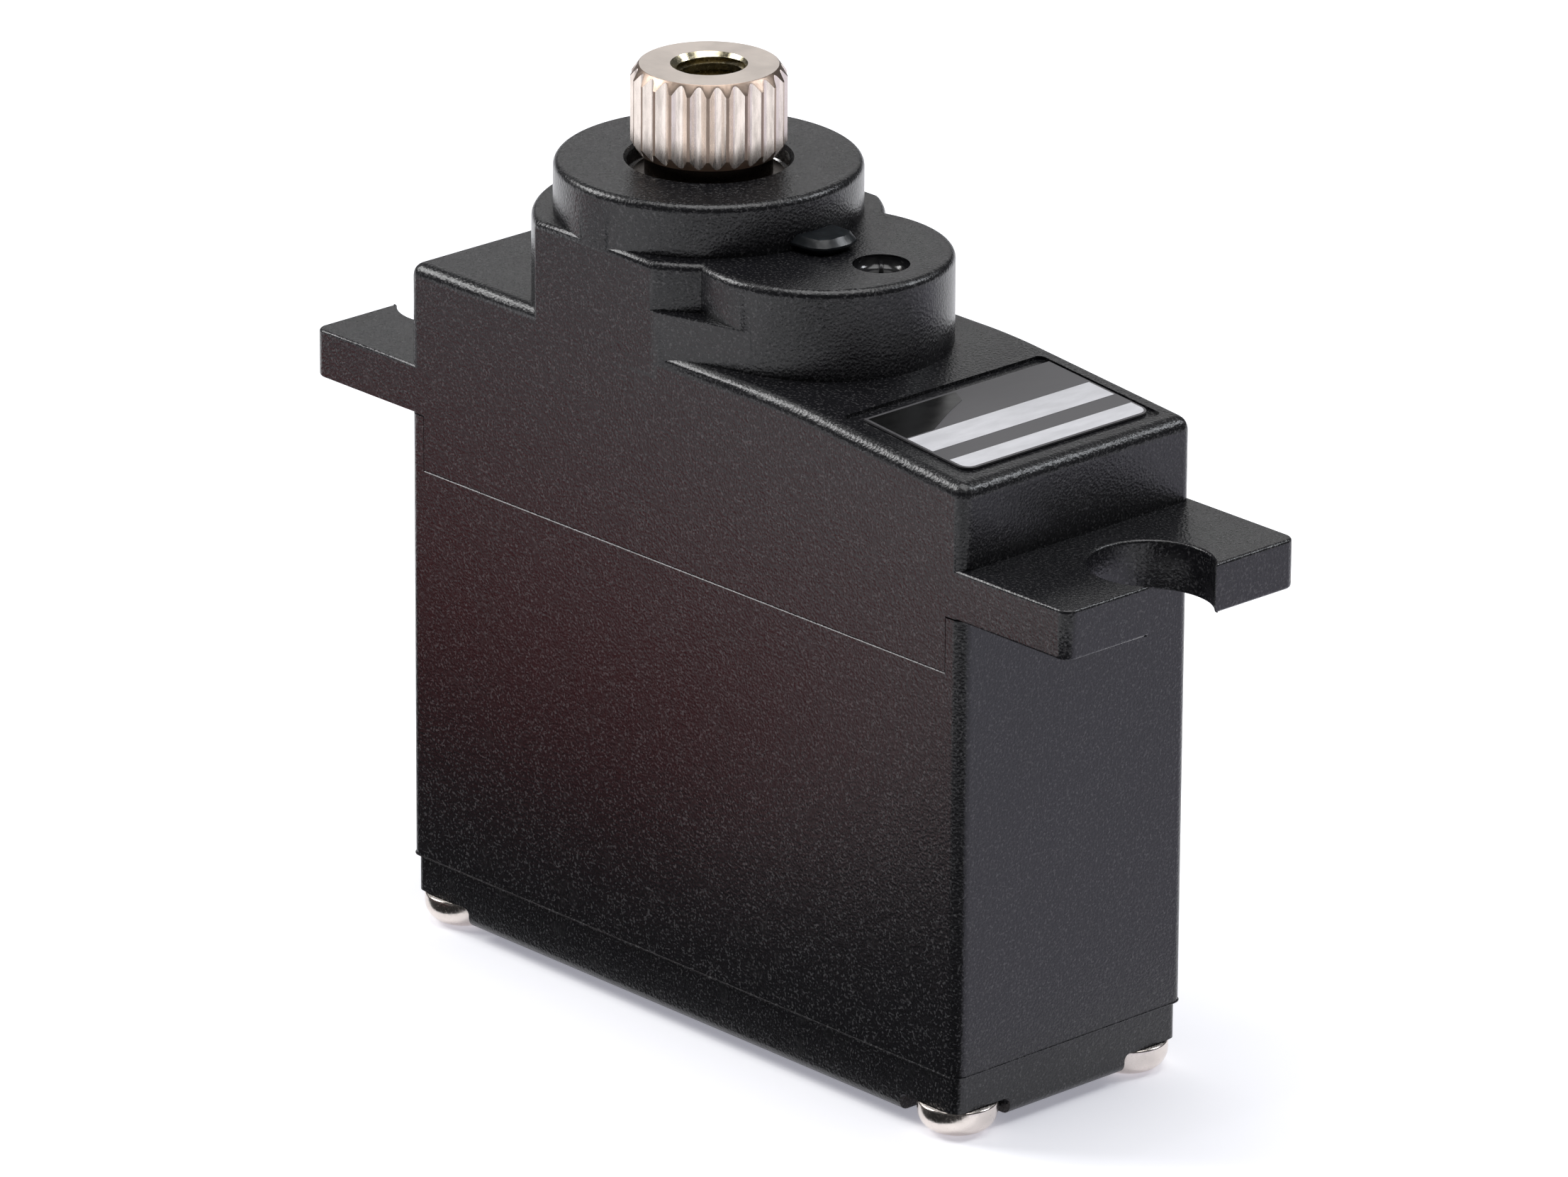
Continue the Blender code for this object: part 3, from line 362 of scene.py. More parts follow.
def plate(name, loops, z, centre=(0, 0)):
    """A flat outline with holes, raised between two levels."""
    curve = bpy.data.curves.new(name + "_outline", "CURVE")
    curve.dimensions = "2D"
    curve.fill_mode = "BOTH"
    curve.extrude = (z[1] - z[0]) / 2
    for loop in loops:
        spline = curve.splines.new("POLY")
        spline.points.add(len(loop) - 1)
        for point, (x, y) in zip(spline.points, loop):
            point.co = (x, y, 0, 1)
        spline.use_cyclic_u = True
    outline = to_scene(name + "_outline", curve)
    view = bpy.context.evaluated_depsgraph_get()
    mesh = bpy.data.meshes.new_from_object(outline.evaluated_get(view))
    drop(outline)
    model = bmesh.new()
    model.from_mesh(mesh)
    bmesh.ops.translate(model, vec=(centre[0], centre[1], (z[0] + z[1]) / 2), verts=model.verts)
    bmesh.ops.remove_doubles(model, verts=model.verts, dist=0.0001)
    bmesh.ops.dissolve_limit(model, angle_limit=radians(0.5), verts=model.verts, edges=model.edges)
    bmesh.ops.scale(model, vec=(MM, MM, MM), verts=model.verts)
    bmesh.ops.recalc_face_normals(model, faces=model.faces)
    model.to_mesh(mesh)
    model.free()
    return to_scene(name, mesh)


def side_plate(name, outline, y):
    """An outline in X and Z, raised along Y."""
    item = plate(name, [outline], y)
    item.data.transform(Matrix.Rotation(radians(90), 4, "X") @ Matrix.Scale(-1, 4, (0, 0, 1)))
    item.data.flip_normals()
    return item


def block(name, x, y, z):
    """A box between three pairs of limits."""
    model = bmesh.new()
    bmesh.ops.create_cube(model, size=1)
    size = Vector((x[1] - x[0], y[1] - y[0], z[1] - z[0])) * MM
    middle = Vector((x[0] + x[1], y[0] + y[1], z[0] + z[1])) * MM / 2
    bmesh.ops.scale(model, vec=size, verts=model.verts)
    bmesh.ops.translate(model, vec=middle, verts=model.verts)
    mesh = bpy.data.meshes.new(name)
    model.to_mesh(mesh)
    model.free()
    return to_scene(name, mesh)


def turned(name, profile, centre=(0, 0), steps=TURN, ring=False):
    """A turned shape from (radius, height) points that run down its outer side."""
    mesh = bpy.data.meshes.new(name)
    edges = [(i, i + 1) for i in range(len(profile) - 1)]
    if ring:
        edges.append((len(profile) - 1, 0))
    mesh.from_pydata([(radius * MM, 0, height * MM) for radius, height in profile], edges, [])
    item = to_scene(name, mesh)
    screw = item.modifiers.new("turn", "SCREW")
    screw.steps = screw.render_steps = steps
    screw.use_merge_vertices = True
    screw.merge_threshold = 1e-7
    settle(item)
    item.data.transform(Matrix.Translation((centre[0] * MM, centre[1] * MM, 0)))
    return item


def rod(name, centre, radius, z, steps=SMALL_TURN):
    """An upright cylinder between two heights."""
    return turned(name, [(0, z[1]), (radius, z[1]), (radius, z[0]), (0, z[0])], centre, steps)


def rounded(item, width, segments=4, angle=30):
    """Round the edges that are sharper than an angle, in degrees."""
    edge = item.modifiers.new("round", "BEVEL")
    edge.width = width * MM
    edge.segments = segments
    edge.limit_method = "ANGLE"
    edge.angle_limit = radians(angle)
    edge.use_clamp_overlap = False
    return settle(item)


def fuse(item, operation, tools):
    """Unite item with its tools, or cut them from it."""
    for tool in tools:
        step = item.modifiers.new(operation.lower(), "BOOLEAN")
        step.operation = operation
        step.solver = "MANIFOLD"
        step.object = tool
    settle(item)
    for tool in tools:
        drop(tool)
    return item


def finish(item, material, body, nodes=(), angle=32):
    """Shade a piece, give it its material, hang it on the body it rides on, and hide the imported nodes it
    stands for.
    """
    item.data.materials.clear()
    item.data.materials.append(material)
    item.data.shade_smooth()
    item.data.set_sharp_from_angle(angle=radians(angle))
    weigh = item.modifiers.new("normals", "WEIGHTED_NORMAL")
    weigh.keep_sharp = True
    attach(item, body)
    if nodes:
        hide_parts(*nodes)
    return item


# ---------------------------------------------------------------- materials

class Maker:
    """A node material: a Principled shader and the nodes that feed it."""

    def __init__(self, name, colour, roughness, metallic=0.0, specular=0.5):
        self.material = bpy.data.materials.new(name)
        self.material.use_nodes = True
        self.tree = self.material.node_tree
        self.shader = self.tree.nodes["Principled BSDF"]
        self.set(self.shader, "Base Color", (*colour, 1))
        self.set(self.shader, "Roughness", roughness)
        self.set(self.shader, "Metallic", metallic)
        self.set(self.shader, "Specular IOR Level", specular)
        self.place = self.tree.nodes.new("ShaderNodeTexCoord").outputs["Object"]

    def set(self, node, name, value):
        node.inputs[name].default_value = value

    def link(self, source, target):
        self.tree.links.new(source, target)

    def stretched(self, scale):
        node = self.tree.nodes.new("ShaderNodeMapping")
        self.link(self.place, node.inputs["Vector"])
        self.set(node, "Scale", scale)
        return node.outputs["Vector"]

    def noise(self, scale, detail=2.0, rough=0.5, place=None):
        node = self.tree.nodes.new("ShaderNodeTexNoise")
        self.link(place or self.place, node.inputs["Vector"])
        self.set(node, "Scale", scale)
        self.set(node, "Detail", detail)
        self.set(node, "Roughness", rough)
        return node.outputs["Fac"]

    def cells(self, scale, place=None):
        node = self.tree.nodes.new("ShaderNodeTexVoronoi")
        self.link(place or self.place, node.inputs["Vector"])
        self.set(node, "Scale", scale)
        return node.outputs["Distance"]

    def spread(self, source, low, high, to_low=0.0, to_high=1.0):
        """Map low..high of a value to another range, clamped."""
        node = self.tree.nodes.new("ShaderNodeMapRange")
        self.link(source, node.inputs["Value"])
        self.set(node, "From Min", low)
        self.set(node, "From Max", high)
        self.set(node, "To Min", to_low)
        self.set(node, "To Max", to_high)
        return node.outputs["Result"]

    def mixed(self, factor, first, second):
        node = self.tree.nodes.new("ShaderNodeMix")
        node.data_type = "RGBA"
        self.link(factor, node.inputs[0])
        for socket, value in ((node.inputs[6], first), (node.inputs[7], second)):
            if isinstance(value, tuple):
                socket.default_value = (*value, 1)
            else:
                self.link(value, socket)
        return node.outputs[2]

    def add(self, first, second, operation="ADD"):
        node = self.tree.nodes.new("ShaderNodeMath")
        node.operation = operation
        self.link(first, node.inputs[0])
        if isinstance(second, float):
            node.inputs[1].default_value = second
        else:
            self.link(second, node.inputs[1])
        return node.outputs[0]

    def bump(self, height, distance, strength=1.0):
        node = self.tree.nodes.new("ShaderNodeBump")
        self.link(height, node.inputs["Height"])
        self.set(node, "Distance", distance)
        self.set(node, "Strength", strength)
        self.link(node.outputs["Normal"], self.shader.inputs["Normal"])

    def colour(self, source):
        self.link(source, self.shader.inputs["Base Color"])

    def roughness(self, source):
        self.link(source, self.shader.inputs["Roughness"])


def moulded_plastic(name, dark, pale, roughness, grain, depth):
    """Plastic from a spark-eroded mould: fine pits, a few pale specks and slow patches of sheen."""
    make = Maker(name, dark, roughness)
    fine = make.noise(grain, 3.0, 0.62)
    specks = make.spread(make.noise(grain * 0.8, 1.0), 0.55, 0.73)
    make.colour(make.mixed(specks, dark, pale))
    patches = make.noise(700, 2.0)
    make.roughness(make.spread(patches, 0.3, 0.7, roughness - 0.015, roughness + 0.02))
    make.bump(make.add(fine, make.cells(grain * 0.7)), depth)
    return make.material


def plated_metal(name, colour, roughness, scratch=(1, 1, 1), depth=0.000002):
    """Plated or ground metal with fine drawn marks along one direction."""
    make = Maker(name, colour, roughness, 1.0)
    marks = make.noise(9000, 3.0, 0.6, make.stretched(scratch))
    cloud = make.noise(900, 2.0)
    worn = tuple(value * 0.86 for value in colour)
    make.colour(make.mixed(make.spread(cloud, 0.35, 0.7), colour, worn))
    make.roughness(make.spread(marks, 0.3, 0.7, roughness - 0.05, roughness + 0.09))
    make.bump(marks, depth)
    return make.material


def wound_wire(name):
    """Lacquered copper wire, wound in close turns."""
    make = Maker(name, (0.55, 0.19, 0.07), 0.30, 0.85)
    wave = make.tree.nodes.new("ShaderNodeTexWave")
    make.link(make.place, wave.inputs["Vector"])
    wave.bands_direction = "Z"
    make.set(wave, "Scale", 1600)
    make.colour(make.mixed(wave.outputs["Fac"], (0.28, 0.08, 0.03), (0.66, 0.25, 0.10)))
    make.bump(wave.outputs["Fac"], 0.00003)
    return make.material


def stacked_sheets(name):
    """The rotor core's stack of steel sheets."""
    make = Maker(name, (0.20, 0.20, 0.21), 0.42, 0.9)
    wave = make.tree.nodes.new("ShaderNodeTexWave")
    make.link(make.place, wave.inputs["Vector"])
    wave.bands_direction = "Z"
    make.set(wave, "Scale", 900)
    make.colour(make.mixed(wave.outputs["Fac"], (0.09, 0.09, 0.10), (0.30, 0.30, 0.31)))
    make.bump(wave.outputs["Fac"], 0.00002)
    return make.material


def lacquered_board(name):
    """Circuit board under green lacquer."""
    make = Maker(name, (0.02, 0.16, 0.07), 0.30)
    brick = make.tree.nodes.new("ShaderNodeTexBrick")
    make.link(make.place, brick.inputs["Vector"])
    make.set(brick, "Scale", 420)
    make.set(brick, "Mortar Size", 0.05)
    make.set(brick, "Color1", (0.010, 0.090, 0.035, 1))
    make.set(brick, "Color2", (0.012, 0.100, 0.045, 1))
    make.set(brick, "Mortar", (0.030, 0.200, 0.085, 1))
    make.colour(brick.outputs["Color"])
    make.bump(brick.outputs["Fac"], 0.00002)
    return make.material


def printed_film(name, colour, roughness, metallic=0.0):
    """Label film: nearly even, with a faint lay and a few fibres under the print."""
    make = Maker(name, colour, roughness, metallic)
    fibres = make.noise(2600, 4.0, 0.6, make.stretched((1, 0.25, 1)))
    darker = tuple(value * 0.85 for value in colour)
    make.colour(make.mixed(make.spread(fibres, 0.35, 0.65), darker, colour))
    make.roughness(make.spread(fibres, 0.3, 0.7, roughness - 0.05, roughness + 0.07))
    make.bump(fibres, 0.000003)
    return make.material


CASE_PLASTIC = moulded_plastic("case_plastic", (0.0055, 0.0055, 0.0068), (0.049, 0.048, 0.050),
                               0.26, 12000, 0.000010)
GLOSS_PLASTIC = moulded_plastic("gloss_plastic", (0.010, 0.010, 0.011), (0.020, 0.020, 0.020),
                                0.16, 2500, 0.000004)
LUG_PLASTIC = moulded_plastic("lug_plastic", (0.006, 0.008, 0.010), (0.014, 0.018, 0.022),
                              0.33, 5000, 0.000004)
GREY_PLASTIC = moulded_plastic("grey_plastic", (0.09, 0.09, 0.10), (0.16, 0.16, 0.17),
                               0.48, 7000, 0.00001)
WHITE_PLASTIC = moulded_plastic("white_plastic", (0.72, 0.70, 0.65), (0.80, 0.79, 0.76),
                                0.42, 7000, 0.00001)
CHIP_PLASTIC = moulded_plastic("chip_plastic", (0.020, 0.020, 0.021), (0.05, 0.05, 0.05),
                               0.60, 12000, 0.00001)
RUBBER = moulded_plastic("rubber", (0.020, 0.020, 0.020), (0.032, 0.032, 0.032), 0.72, 6000, 0.00001)
SHAFT_NICKEL = plated_metal("shaft_nickel", (0.86, 0.77, 0.70), 0.24, (1, 1, 0.15))
FACED_NICKEL = plated_metal("faced_nickel", (0.84, 0.76, 0.70), 0.50)
# painted shade: a dark brown copy of the shaft's nickel for the spline's crests and chamfers
SHADED_CREST_NICKEL = plated_metal("shaded_crest_nickel", (0.34, 0.26, 0.21), 0.34, (1, 1, 0.15))
BORE_NICKEL = plated_metal("bore_nickel", (0.60, 0.54, 0.38), 0.20)
# painted shade: near-black metal for the neck in the dark gap under the spline
SHADED_NECK_METAL = plated_metal("shaded_neck_metal", (0.07, 0.055, 0.045), 0.30)
SCREW_NICKEL = plated_metal("screw_nickel", (0.82, 0.75, 0.70), 0.20)
STEEL = plated_metal("steel", (0.60, 0.60, 0.60), 0.24, (1, 1, 0.2))
BRASS = plated_metal("brass", (0.72, 0.50, 0.22), 0.30, (1, 1, 0.2))
ALUMINIUM = plated_metal("aluminium", (0.76, 0.77, 0.78), 0.34, (0.3, 1, 1))
CAN_STEEL = plated_metal("can_steel", (0.62, 0.61, 0.59), 0.33, (1, 1, 0.1))
MAGNET = plated_metal("magnet", (0.10, 0.10, 0.105), 0.45)
COIL_WIRE = wound_wire("coil_wire")
CORE_SHEETS = stacked_sheets("core_sheets")
BOARD = lacquered_board("board_lacquer")
LABEL_GREY = printed_film("label_grey", (0.085, 0.083, 0.088), 0.38)
LABEL_SILVER = printed_film("label_silver", (0.60, 0.60, 0.63), 0.36)
LABEL_BLACK = printed_film("label_black", (0.006, 0.006, 0.006), 0.20)


# ---------------------------------------------------------------- case

def slope_angle():
    """How far the deck's label end slopes down."""
    return atan2(DECK - LABEL_END, HALF_L - CREASE_X)


def room_outline():
    """The room inside the case, with its corners left to the screw posts."""
    long, wide = HALF_L - END_WALL, HALF_W - CASE_WALL
    px, py = POST
    return [(long, -py), (long, py), (px, py), (px, wide), (-px, wide), (-px, py), (-long, py),
            (-long, -py), (-px, -py), (-px, -wide), (px, -wide), (px, -py)]


def screw_places():
    """Centres of the four case screws."""
    x, y = HALF_L - SCREW_INSET, HALF_W - SCREW_INSET
    return [(x * sx, y * sy) for sx in (-1, 1) for sy in (-1, 1)]


def case_body():
    """The main block of the top case, with its deck sloping down to the label end."""
    slope = slope_angle()
    crease_r = CREASE_REACH / tan(slope / 2)
    crease = arc((CREASE_X - CREASE_REACH, DECK - crease_r), crease_r, 90 - degrees_of(slope), 90, 8)
    low = TOP_SEAM - 2
    outline = [(-HALF_L, low), (HALF_L, low), (HALF_L, LABEL_END), *crease, (-HALF_L, DECK)]
    return rounded(side_plate("body", outline, (-HALF_W, HALF_W)), CASE_ROUND, 6)


def tab(side):
    """A mounting tab with its open slot."""
    mouth = sqrt(TAB_HOLE_R ** 2 - (TAB_END - TAB_HOLE_X) ** 2)
    turn = degrees_of(asin(mouth / TAB_HOLE_R))
    slot = arc((TAB_HOLE_X, 0), TAB_HOLE_R, -turn, turn - 360, 80)
    corner_x, corner_y = TAB_END - TAB_CORNER_R, HALF_W - TAB_CORNER_R
    outline = [(HALF_L - 2, -HALF_W), *arc((corner_x, -corner_y), TAB_CORNER_R, -90, 0, 8), *slot,
               *arc((corner_x, corner_y), TAB_CORNER_R, 0, 90, 8), (HALF_L - 2, HALF_W)]
    item = plate(f"tab_{side}", [outline], (TAB_BOTTOM, TAB_TOP))
    rounded(item, 0.13, 3)
    if side < 0:
        item.data.transform(Matrix.Rotation(pi, 4, "Z"))
    return item


def output_boss():
    """The round boss around the output gear, cut flush with the long faces."""
    reach = degrees_of(asin(HALF_W / OUTPUT_BOSS_R))
    outline = arc((0, 0), OUTPUT_BOSS_R, -reach, reach, 48)
    outline += arc((0, 0), OUTPUT_BOSS_R, 180 - reach, 180 + reach, 48)
    return rounded(plate("output_boss", [outline], (DECK - 1, BOSS_TOP), (OUTPUT_X, 0)), 0.30, 5)


def rounded_rod(name, x, radius, z, fillet):
    """An upright cylinder with a rounded top rim."""
    rim = arc((radius - fillet, z[1] - fillet), fillet, 90, 0, 6)
    return turned(name, [(0, z[1]), *rim, (radius, z[0]), (0, z[0])], (x, 0))


def web():
    """The low step whose sides run tangent from the long faces to the gear boss."""
    touch = (PIN_X + GEAR_BOSS_R * sin(WEB_LEAN), GEAR_BOSS_R * cos(WEB_LEAN))
    start = touch[0] - (HALF_W - touch[1]) / tan(WEB_LEAN)
    side = [(OUTPUT_X, HALF_W), (start, HALF_W), touch]
    outline = [(x, -y) for x, y in side] + list(reversed(side))
    return rounded(plate("web", [outline], (DECK - 1.1, WEB_TOP)), 0.07, 2, 60)


def sloped(name, outline, z, x):
    """An outline on the sloping deck, centred on x, between two heights above the surface."""
    item = plate(name, [outline], z)
    height = DECK + (LABEL_END - DECK) * (x - CREASE_X) / (HALF_L - CREASE_X)
    place = Matrix.Translation((x * MM, 0, height * MM))
    item.data.transform(place @ Matrix.Rotation(slope_angle(), 4, "Y"))
    return item


def printed(name, outline, z, x):
    """A flat piece of the label, which sits a little off the deck's middle line."""
    return sloped(name, [(px, py + LABEL_SHIFT) for px, py in outline], z, x)


def recess():
    """The label's shallow recess in the sloping deck."""
    start, end, half = RECESS
    outline = rounded_box((end - start) / 2, half, 0.25)
    return sloped("recess", outline, (-RECESS_DEPTH, 2), (start + end) / 2)


def top_shell():
    """Top case: deck, tabs, bosses and disc, hollowed for the gears and the bearing."""
    case = case_body()
    fuse(case, "UNION", [tab(-1), tab(1), output_boss(),
                         rounded_rod("gear_boss", PIN_X, GEAR_BOSS_R, (DECK - 1.05, BOSS_TOP), 0.33),
                         web(),
                         rounded_rod("disc", OUTPUT_X, DISC_R, (BOSS_TOP - 0.5, DISC_TOP), 0.33)])
    low = TOP_SEAM - 3
    tools = [block("below_seam", PAST_TABS, PAST_FACES, (low, TOP_SEAM))]
    for side in (-1, 1):
        ends = sorted((side * SKIRT_END, side * (HALF_L + 0.1)))
        tools.append(block("end_step", ends, PAST_FACES, (low, TAB_BOTTOM + FIT)))
    tools.append(plate("gear_room", [room_outline()], (low, ROOM_TOP)))
    tools.append(rod("output_gear_room", (OUTPUT_X, 0), GEAR_ROOM_R, (ROOM_TOP - 1, GEAR_ROOM_TOP)))
    tools.append(rod("pinion_room", (PIN_X, 0), PINION_ROOM_R, (ROOM_TOP - 1, PINION_ROOM_TOP)))
    tools.append(rod("pin_socket", (PIN_X, 0), PIN_HOLE_R, PIN_SOCKET))
    tools.append(rod("bearing_seat", (OUTPUT_X, 0), BEARING_SEAT_R, BEARING_SEAT, TURN))
    mouth = [(DISC_HOLE_R + 0.12, DISC_TOP + 1), (DISC_HOLE_R + 0.12, DISC_TOP),
             (DISC_HOLE_R, DISC_TOP - 0.12), (DISC_HOLE_R, DISC_HOLE_LOW)]
    profile = [(0, DISC_TOP + 1), *mouth, (0, DISC_HOLE_LOW)]
    tools.append(turned("disc_hole", profile, (OUTPUT_X, 0)))
    tools.append(rod("dimple", DIMPLE, DIMPLE_R, (BOSS_TOP - DIMPLE_DEPTH - 0.13, BOSS_TOP + 1)))
    for place in screw_places():
        tools.append(rod("post_hole", place, SCREW_R + FIT, (low, SCREW_TOP + 0.4), 24))
    tools.append(recess())
    fuse(case, "DIFFERENCE", tools)
    case.name = "top_shell"
    return finish(case, CASE_PLASTIC, "housing", ["top_case"])


def gate_marks():
    """The glossy cup of the dimple with its gate rib, and the lug beside the disc."""
    depth = BOSS_TOP - DIMPLE_DEPTH
    fillet = 0.42
    inner = arc((DIMPLE_R - FIT - fillet, depth + fillet), fillet, 0, -90, 10)
    cup = [(DIMPLE_R - FIT, BOSS_TOP - 0.06), *inner, (0, depth), (0, depth - 0.1),
           (DIMPLE_R - FIT, depth - 0.1)]
    dish = turned("dimple_cup", cup, DIMPLE, SMALL_TURN)
    rib = block("gate_rib", (0.05, DIMPLE_R - 0.1), (-0.09, 0.09), (depth - 0.05, depth + 0.30))
    rounded(rib, 0.05, 2)
    place = Matrix.Translation((DIMPLE[0] * MM, DIMPLE[1] * MM, 0))
    place = place @ Matrix.Rotation(AZIMUTH + pi / 2, 4, "Z")
    rib.data.transform(place)
    for piece in (dish, rib):
        finish(piece, GLOSS_PLASTIC, "housing")
    lug = plate("lug", [LUG_OUTLINE], (BOSS_TOP + FIT / 10, BOSS_TOP + LUG_HEIGHT))
    rounded(lug, LUG_ROUND, 1)
    disc = rod("disc_clearance", (OUTPUT_X, 0), DISC_R + FIT / 10, (29, 33), TURN)
    fuse(lug, "DIFFERENCE", [disc])
    lug.name = "moulding_lug"
    finish(lug, LUG_PLASTIC, "housing")


def middle_shell():
    """Middle case: walls round the motor and the plate that carries the gears."""
    shell = block("middle_shell", (-HALF_L, HALF_L), (-HALF_W, HALF_W), (COVER_SEAM - 2, TAB_BOTTOM + 3))
    rounded(shell, CASE_ROUND, 6)
    top = TOP_SEAM - FIT
    ends = (-SKIRT_END - FIT, SKIRT_END + FIT)
    cuts = [block("below", PAST_ENDS, PAST_FACES, (-1, COVER_SEAM)),
            block("above_seam", ends, PAST_FACES, (top, 30)),
            block("above_ends", PAST_ENDS, PAST_FACES, (MIDDLE_HIGH[2], 31))]
    for side in (-1, 1):
        strip = block("seam_chamfer", ends, (-SEAM_CHAMFER, SEAM_CHAMFER), (-SEAM_CHAMFER, SEAM_CHAMFER))
        strip.data.transform(Matrix.Translation((0, side * HALF_W * MM, top * MM))
                             @ Matrix.Rotation(radians(45), 4, "X"))
        cuts.append(strip)
    fuse(shell, "DIFFERENCE", cuts)
    depth, half, inlet_top = INLET
    px, wide = POST[0] - 0.2, HALF_W - CASE_WALL - FIT
    fuse(shell, "UNION", [block("gear_plate", (-px, px), (-wide, wide), (PLATE_BOTTOM, GEAR_FLOOR))])
    tools = [plate("motor_room", [room_outline()], (COVER_SEAM - 3, PLATE_BOTTOM)),
             rod("motor_nose_hole", (MOTOR_X, 0), MOTOR_NOSE_R, (PLATE_BOTTOM - 1, GEAR_FLOOR + 1)),
             rod("pot_neck_hole", (OUTPUT_X, 0), POT_NECK_R, (PLATE_BOTTOM - 1, GEAR_FLOOR + 1)),
             rod("pin_hole", (PIN_X, 0), PIN_HOLE_R, (GEAR_FLOOR - 0.95, GEAR_FLOOR + 1)),
             block("inlet_notch", (-HALF_L - 1, -HALF_L + depth), (-half, half),
                   (COVER_SEAM - 1, inlet_top))]
    tools += [rod("column_hole", place, SCREW_R + 0.1, (-1, TAB_BOTTOM + 1), 24)
              for place in screw_places()]
    fuse(shell, "DIFFERENCE", tools)
    return finish(shell, CASE_PLASTIC, "housing", ["middle_case"])


def cover_shell():
    """Bottom cover: corner pockets for the screws and a shallow panel below."""
    long, wide = HALF_L - COVER_INSET, HALF_W - COVER_INSET
    top = COVER_HIGH[2]
    cover = block("cover_shell", (-long, long), (-wide, wide), (COVER_LOW[2], top + 2))
    rounded(cover, 0.40, 5)
    fuse(cover, "DIFFERENCE", [block("above", PAST_ENDS, PAST_FACES, (top, 9)),
                               plate("board_room", [room_outline()], (COVER_FLOOR, 9))])
    inner = HALF_W - CASE_WALL + 0.2
    ribs = [block("rib", (x - 0.5, x + 0.5), (-inner, inner), RIB_HEIGHTS) for x in (-RIB_X, RIB_X)]
    fuse(cover, "UNION", ribs)
    tools = []
    for x, y in screw_places():
        sx, sy = (1 if x > 0 else -1), (1 if y > 0 else -1)
        pocket = block("pocket", sorted((sx * (HALF_L - POCKET[0]), sx * 17)),
                       sorted((sy * (HALF_W - POCKET[1]), sy * 8)), (-1, POCKET_FLOOR))
        tools.append(rounded(pocket, 0.25, 4))
        tools.append(rod("cover_hole", (x, y), SCREW_R + 0.1, (-1, 9), 24))
    tools.append(plate("panel", [rounded_box(*PANEL)], (-1, COVER_LOW[2] + PANEL_DEPTH)))
    fuse(cover, "DIFFERENCE", tools)
    return finish(cover, CASE_PLASTIC, "housing", ["bottom_cover"])


def seam_flash():
    """The fine line of moulding flash along the cover's seam, which stands a little past the case."""
    loops = [rounded_box(HALF_L + FLASH_REACH, HALF_W + FLASH_REACH, CASE_ROUND, 8),
             rounded_box(HALF_L - FLASH_ROOT, HALF_W - FLASH_ROOT, FLASH_ROOT, 8)]
    bead = plate("seam_flash", loops, (COVER_SEAM - 0.02, COVER_SEAM + 0.04))
    finish(rounded(bead, FLASH_ROUND, 2), CASE_PLASTIC, "housing")


# ---------------------------------------------------------------- label

def label():
    """Film in the recess, with printed bands laid on it and no lettering."""
    start, end, half = LABEL
    x = (start + end) / 2
    length = (end - start) / 2
    corner = LABEL_CORNER
    low = 0.04 - RECESS_DEPTH
    film = [(-length, -half), *arc((length - corner, corner - half), corner, -90, 0, 8),
            *arc((length - corner, half - corner), corner, 0, 90, 8), (-length, half)]
    base = printed("label_film", film, (low - 0.01, low + 0.06), x)
    finish(base, LABEL_GREY, "housing", ["label"])
    ink = (low + 0.061, low + 0.069)
    edge = BAND_MARGIN
    near, far = BAND_1
    first = [(near - x, edge - half), (far - x, edge - half), (far - x, half - edge),
             (near - x, half - edge)]
    finish(printed("label_band_1", first, ink, x), LABEL_SILVER, "housing")
    r = corner - edge
    second = [(BAND_2_START - x, edge - half), *arc((length - corner, corner - half), r, -90, 0, 8),
              *arc((length - corner, half - corner), r, 0, 90, 8), (BAND_2_START - x, half - edge)]
    finish(printed("label_band_2", second, ink, x), LABEL_SILVER, "housing")
    patch = [(8.62 - x, -half + 0.12), (10.66 - x, -half + 0.12), (10.66 - x, -3.2), (9.75 - x, -1.5),
             (9.3 - x, -0.5), (8.62 - x, -0.2)]
    finish(printed("label_patch", patch, ink, x), LABEL_BLACK, "housing")


# ---------------------------------------------------------------- screws and grommet

def screws():
    """Pan-head screws, each with its cross recess turned another way."""
    long, half, depth = CROSS
    for i, place in enumerate(screw_places()):
        rim = arc((SCREW_HEAD_R - SCREW_DOME, SCREW_DOME), SCREW_DOME, 0, -90, 12)
        under = arc((SCREW_HEAD_R - 0.08, SCREW_HEAD_H - 0.08), 0.08, 90, 0, 3)
        profile = [(0, SCREW_TOP - 0.3), (SCREW_R - 0.3, SCREW_TOP - 0.3),
                   (SHANK_R, SCREW_TOP - 0.9), (SHANK_R, SCREW_HEAD_H + 1.0),
                   (SCREW_R, SCREW_HEAD_H + 0.7), (SCREW_R, SCREW_HEAD_H), *under, *rim, (0, 0)]
        screw = turned(f"screw_{i + 1}", profile, place)
        tools = []
        for j in (0, 1):
            slot = block("slot", (-long, long), (-half, half), (-1, depth))
            rounded(slot, 0.04, 2)
            spin = Matrix.Rotation(radians(45 + 90 * j + 20 * i), 4, "Z")
            slot.data.transform(Matrix.Translation((place[0] * MM, place[1] * MM, 0)) @ spin)
            tools.append(slot)
        fuse(screw, "DIFFERENCE", tools)
        finish(screw, SCREW_NICKEL, "housing", [f"case_screw_{i + 1}"])


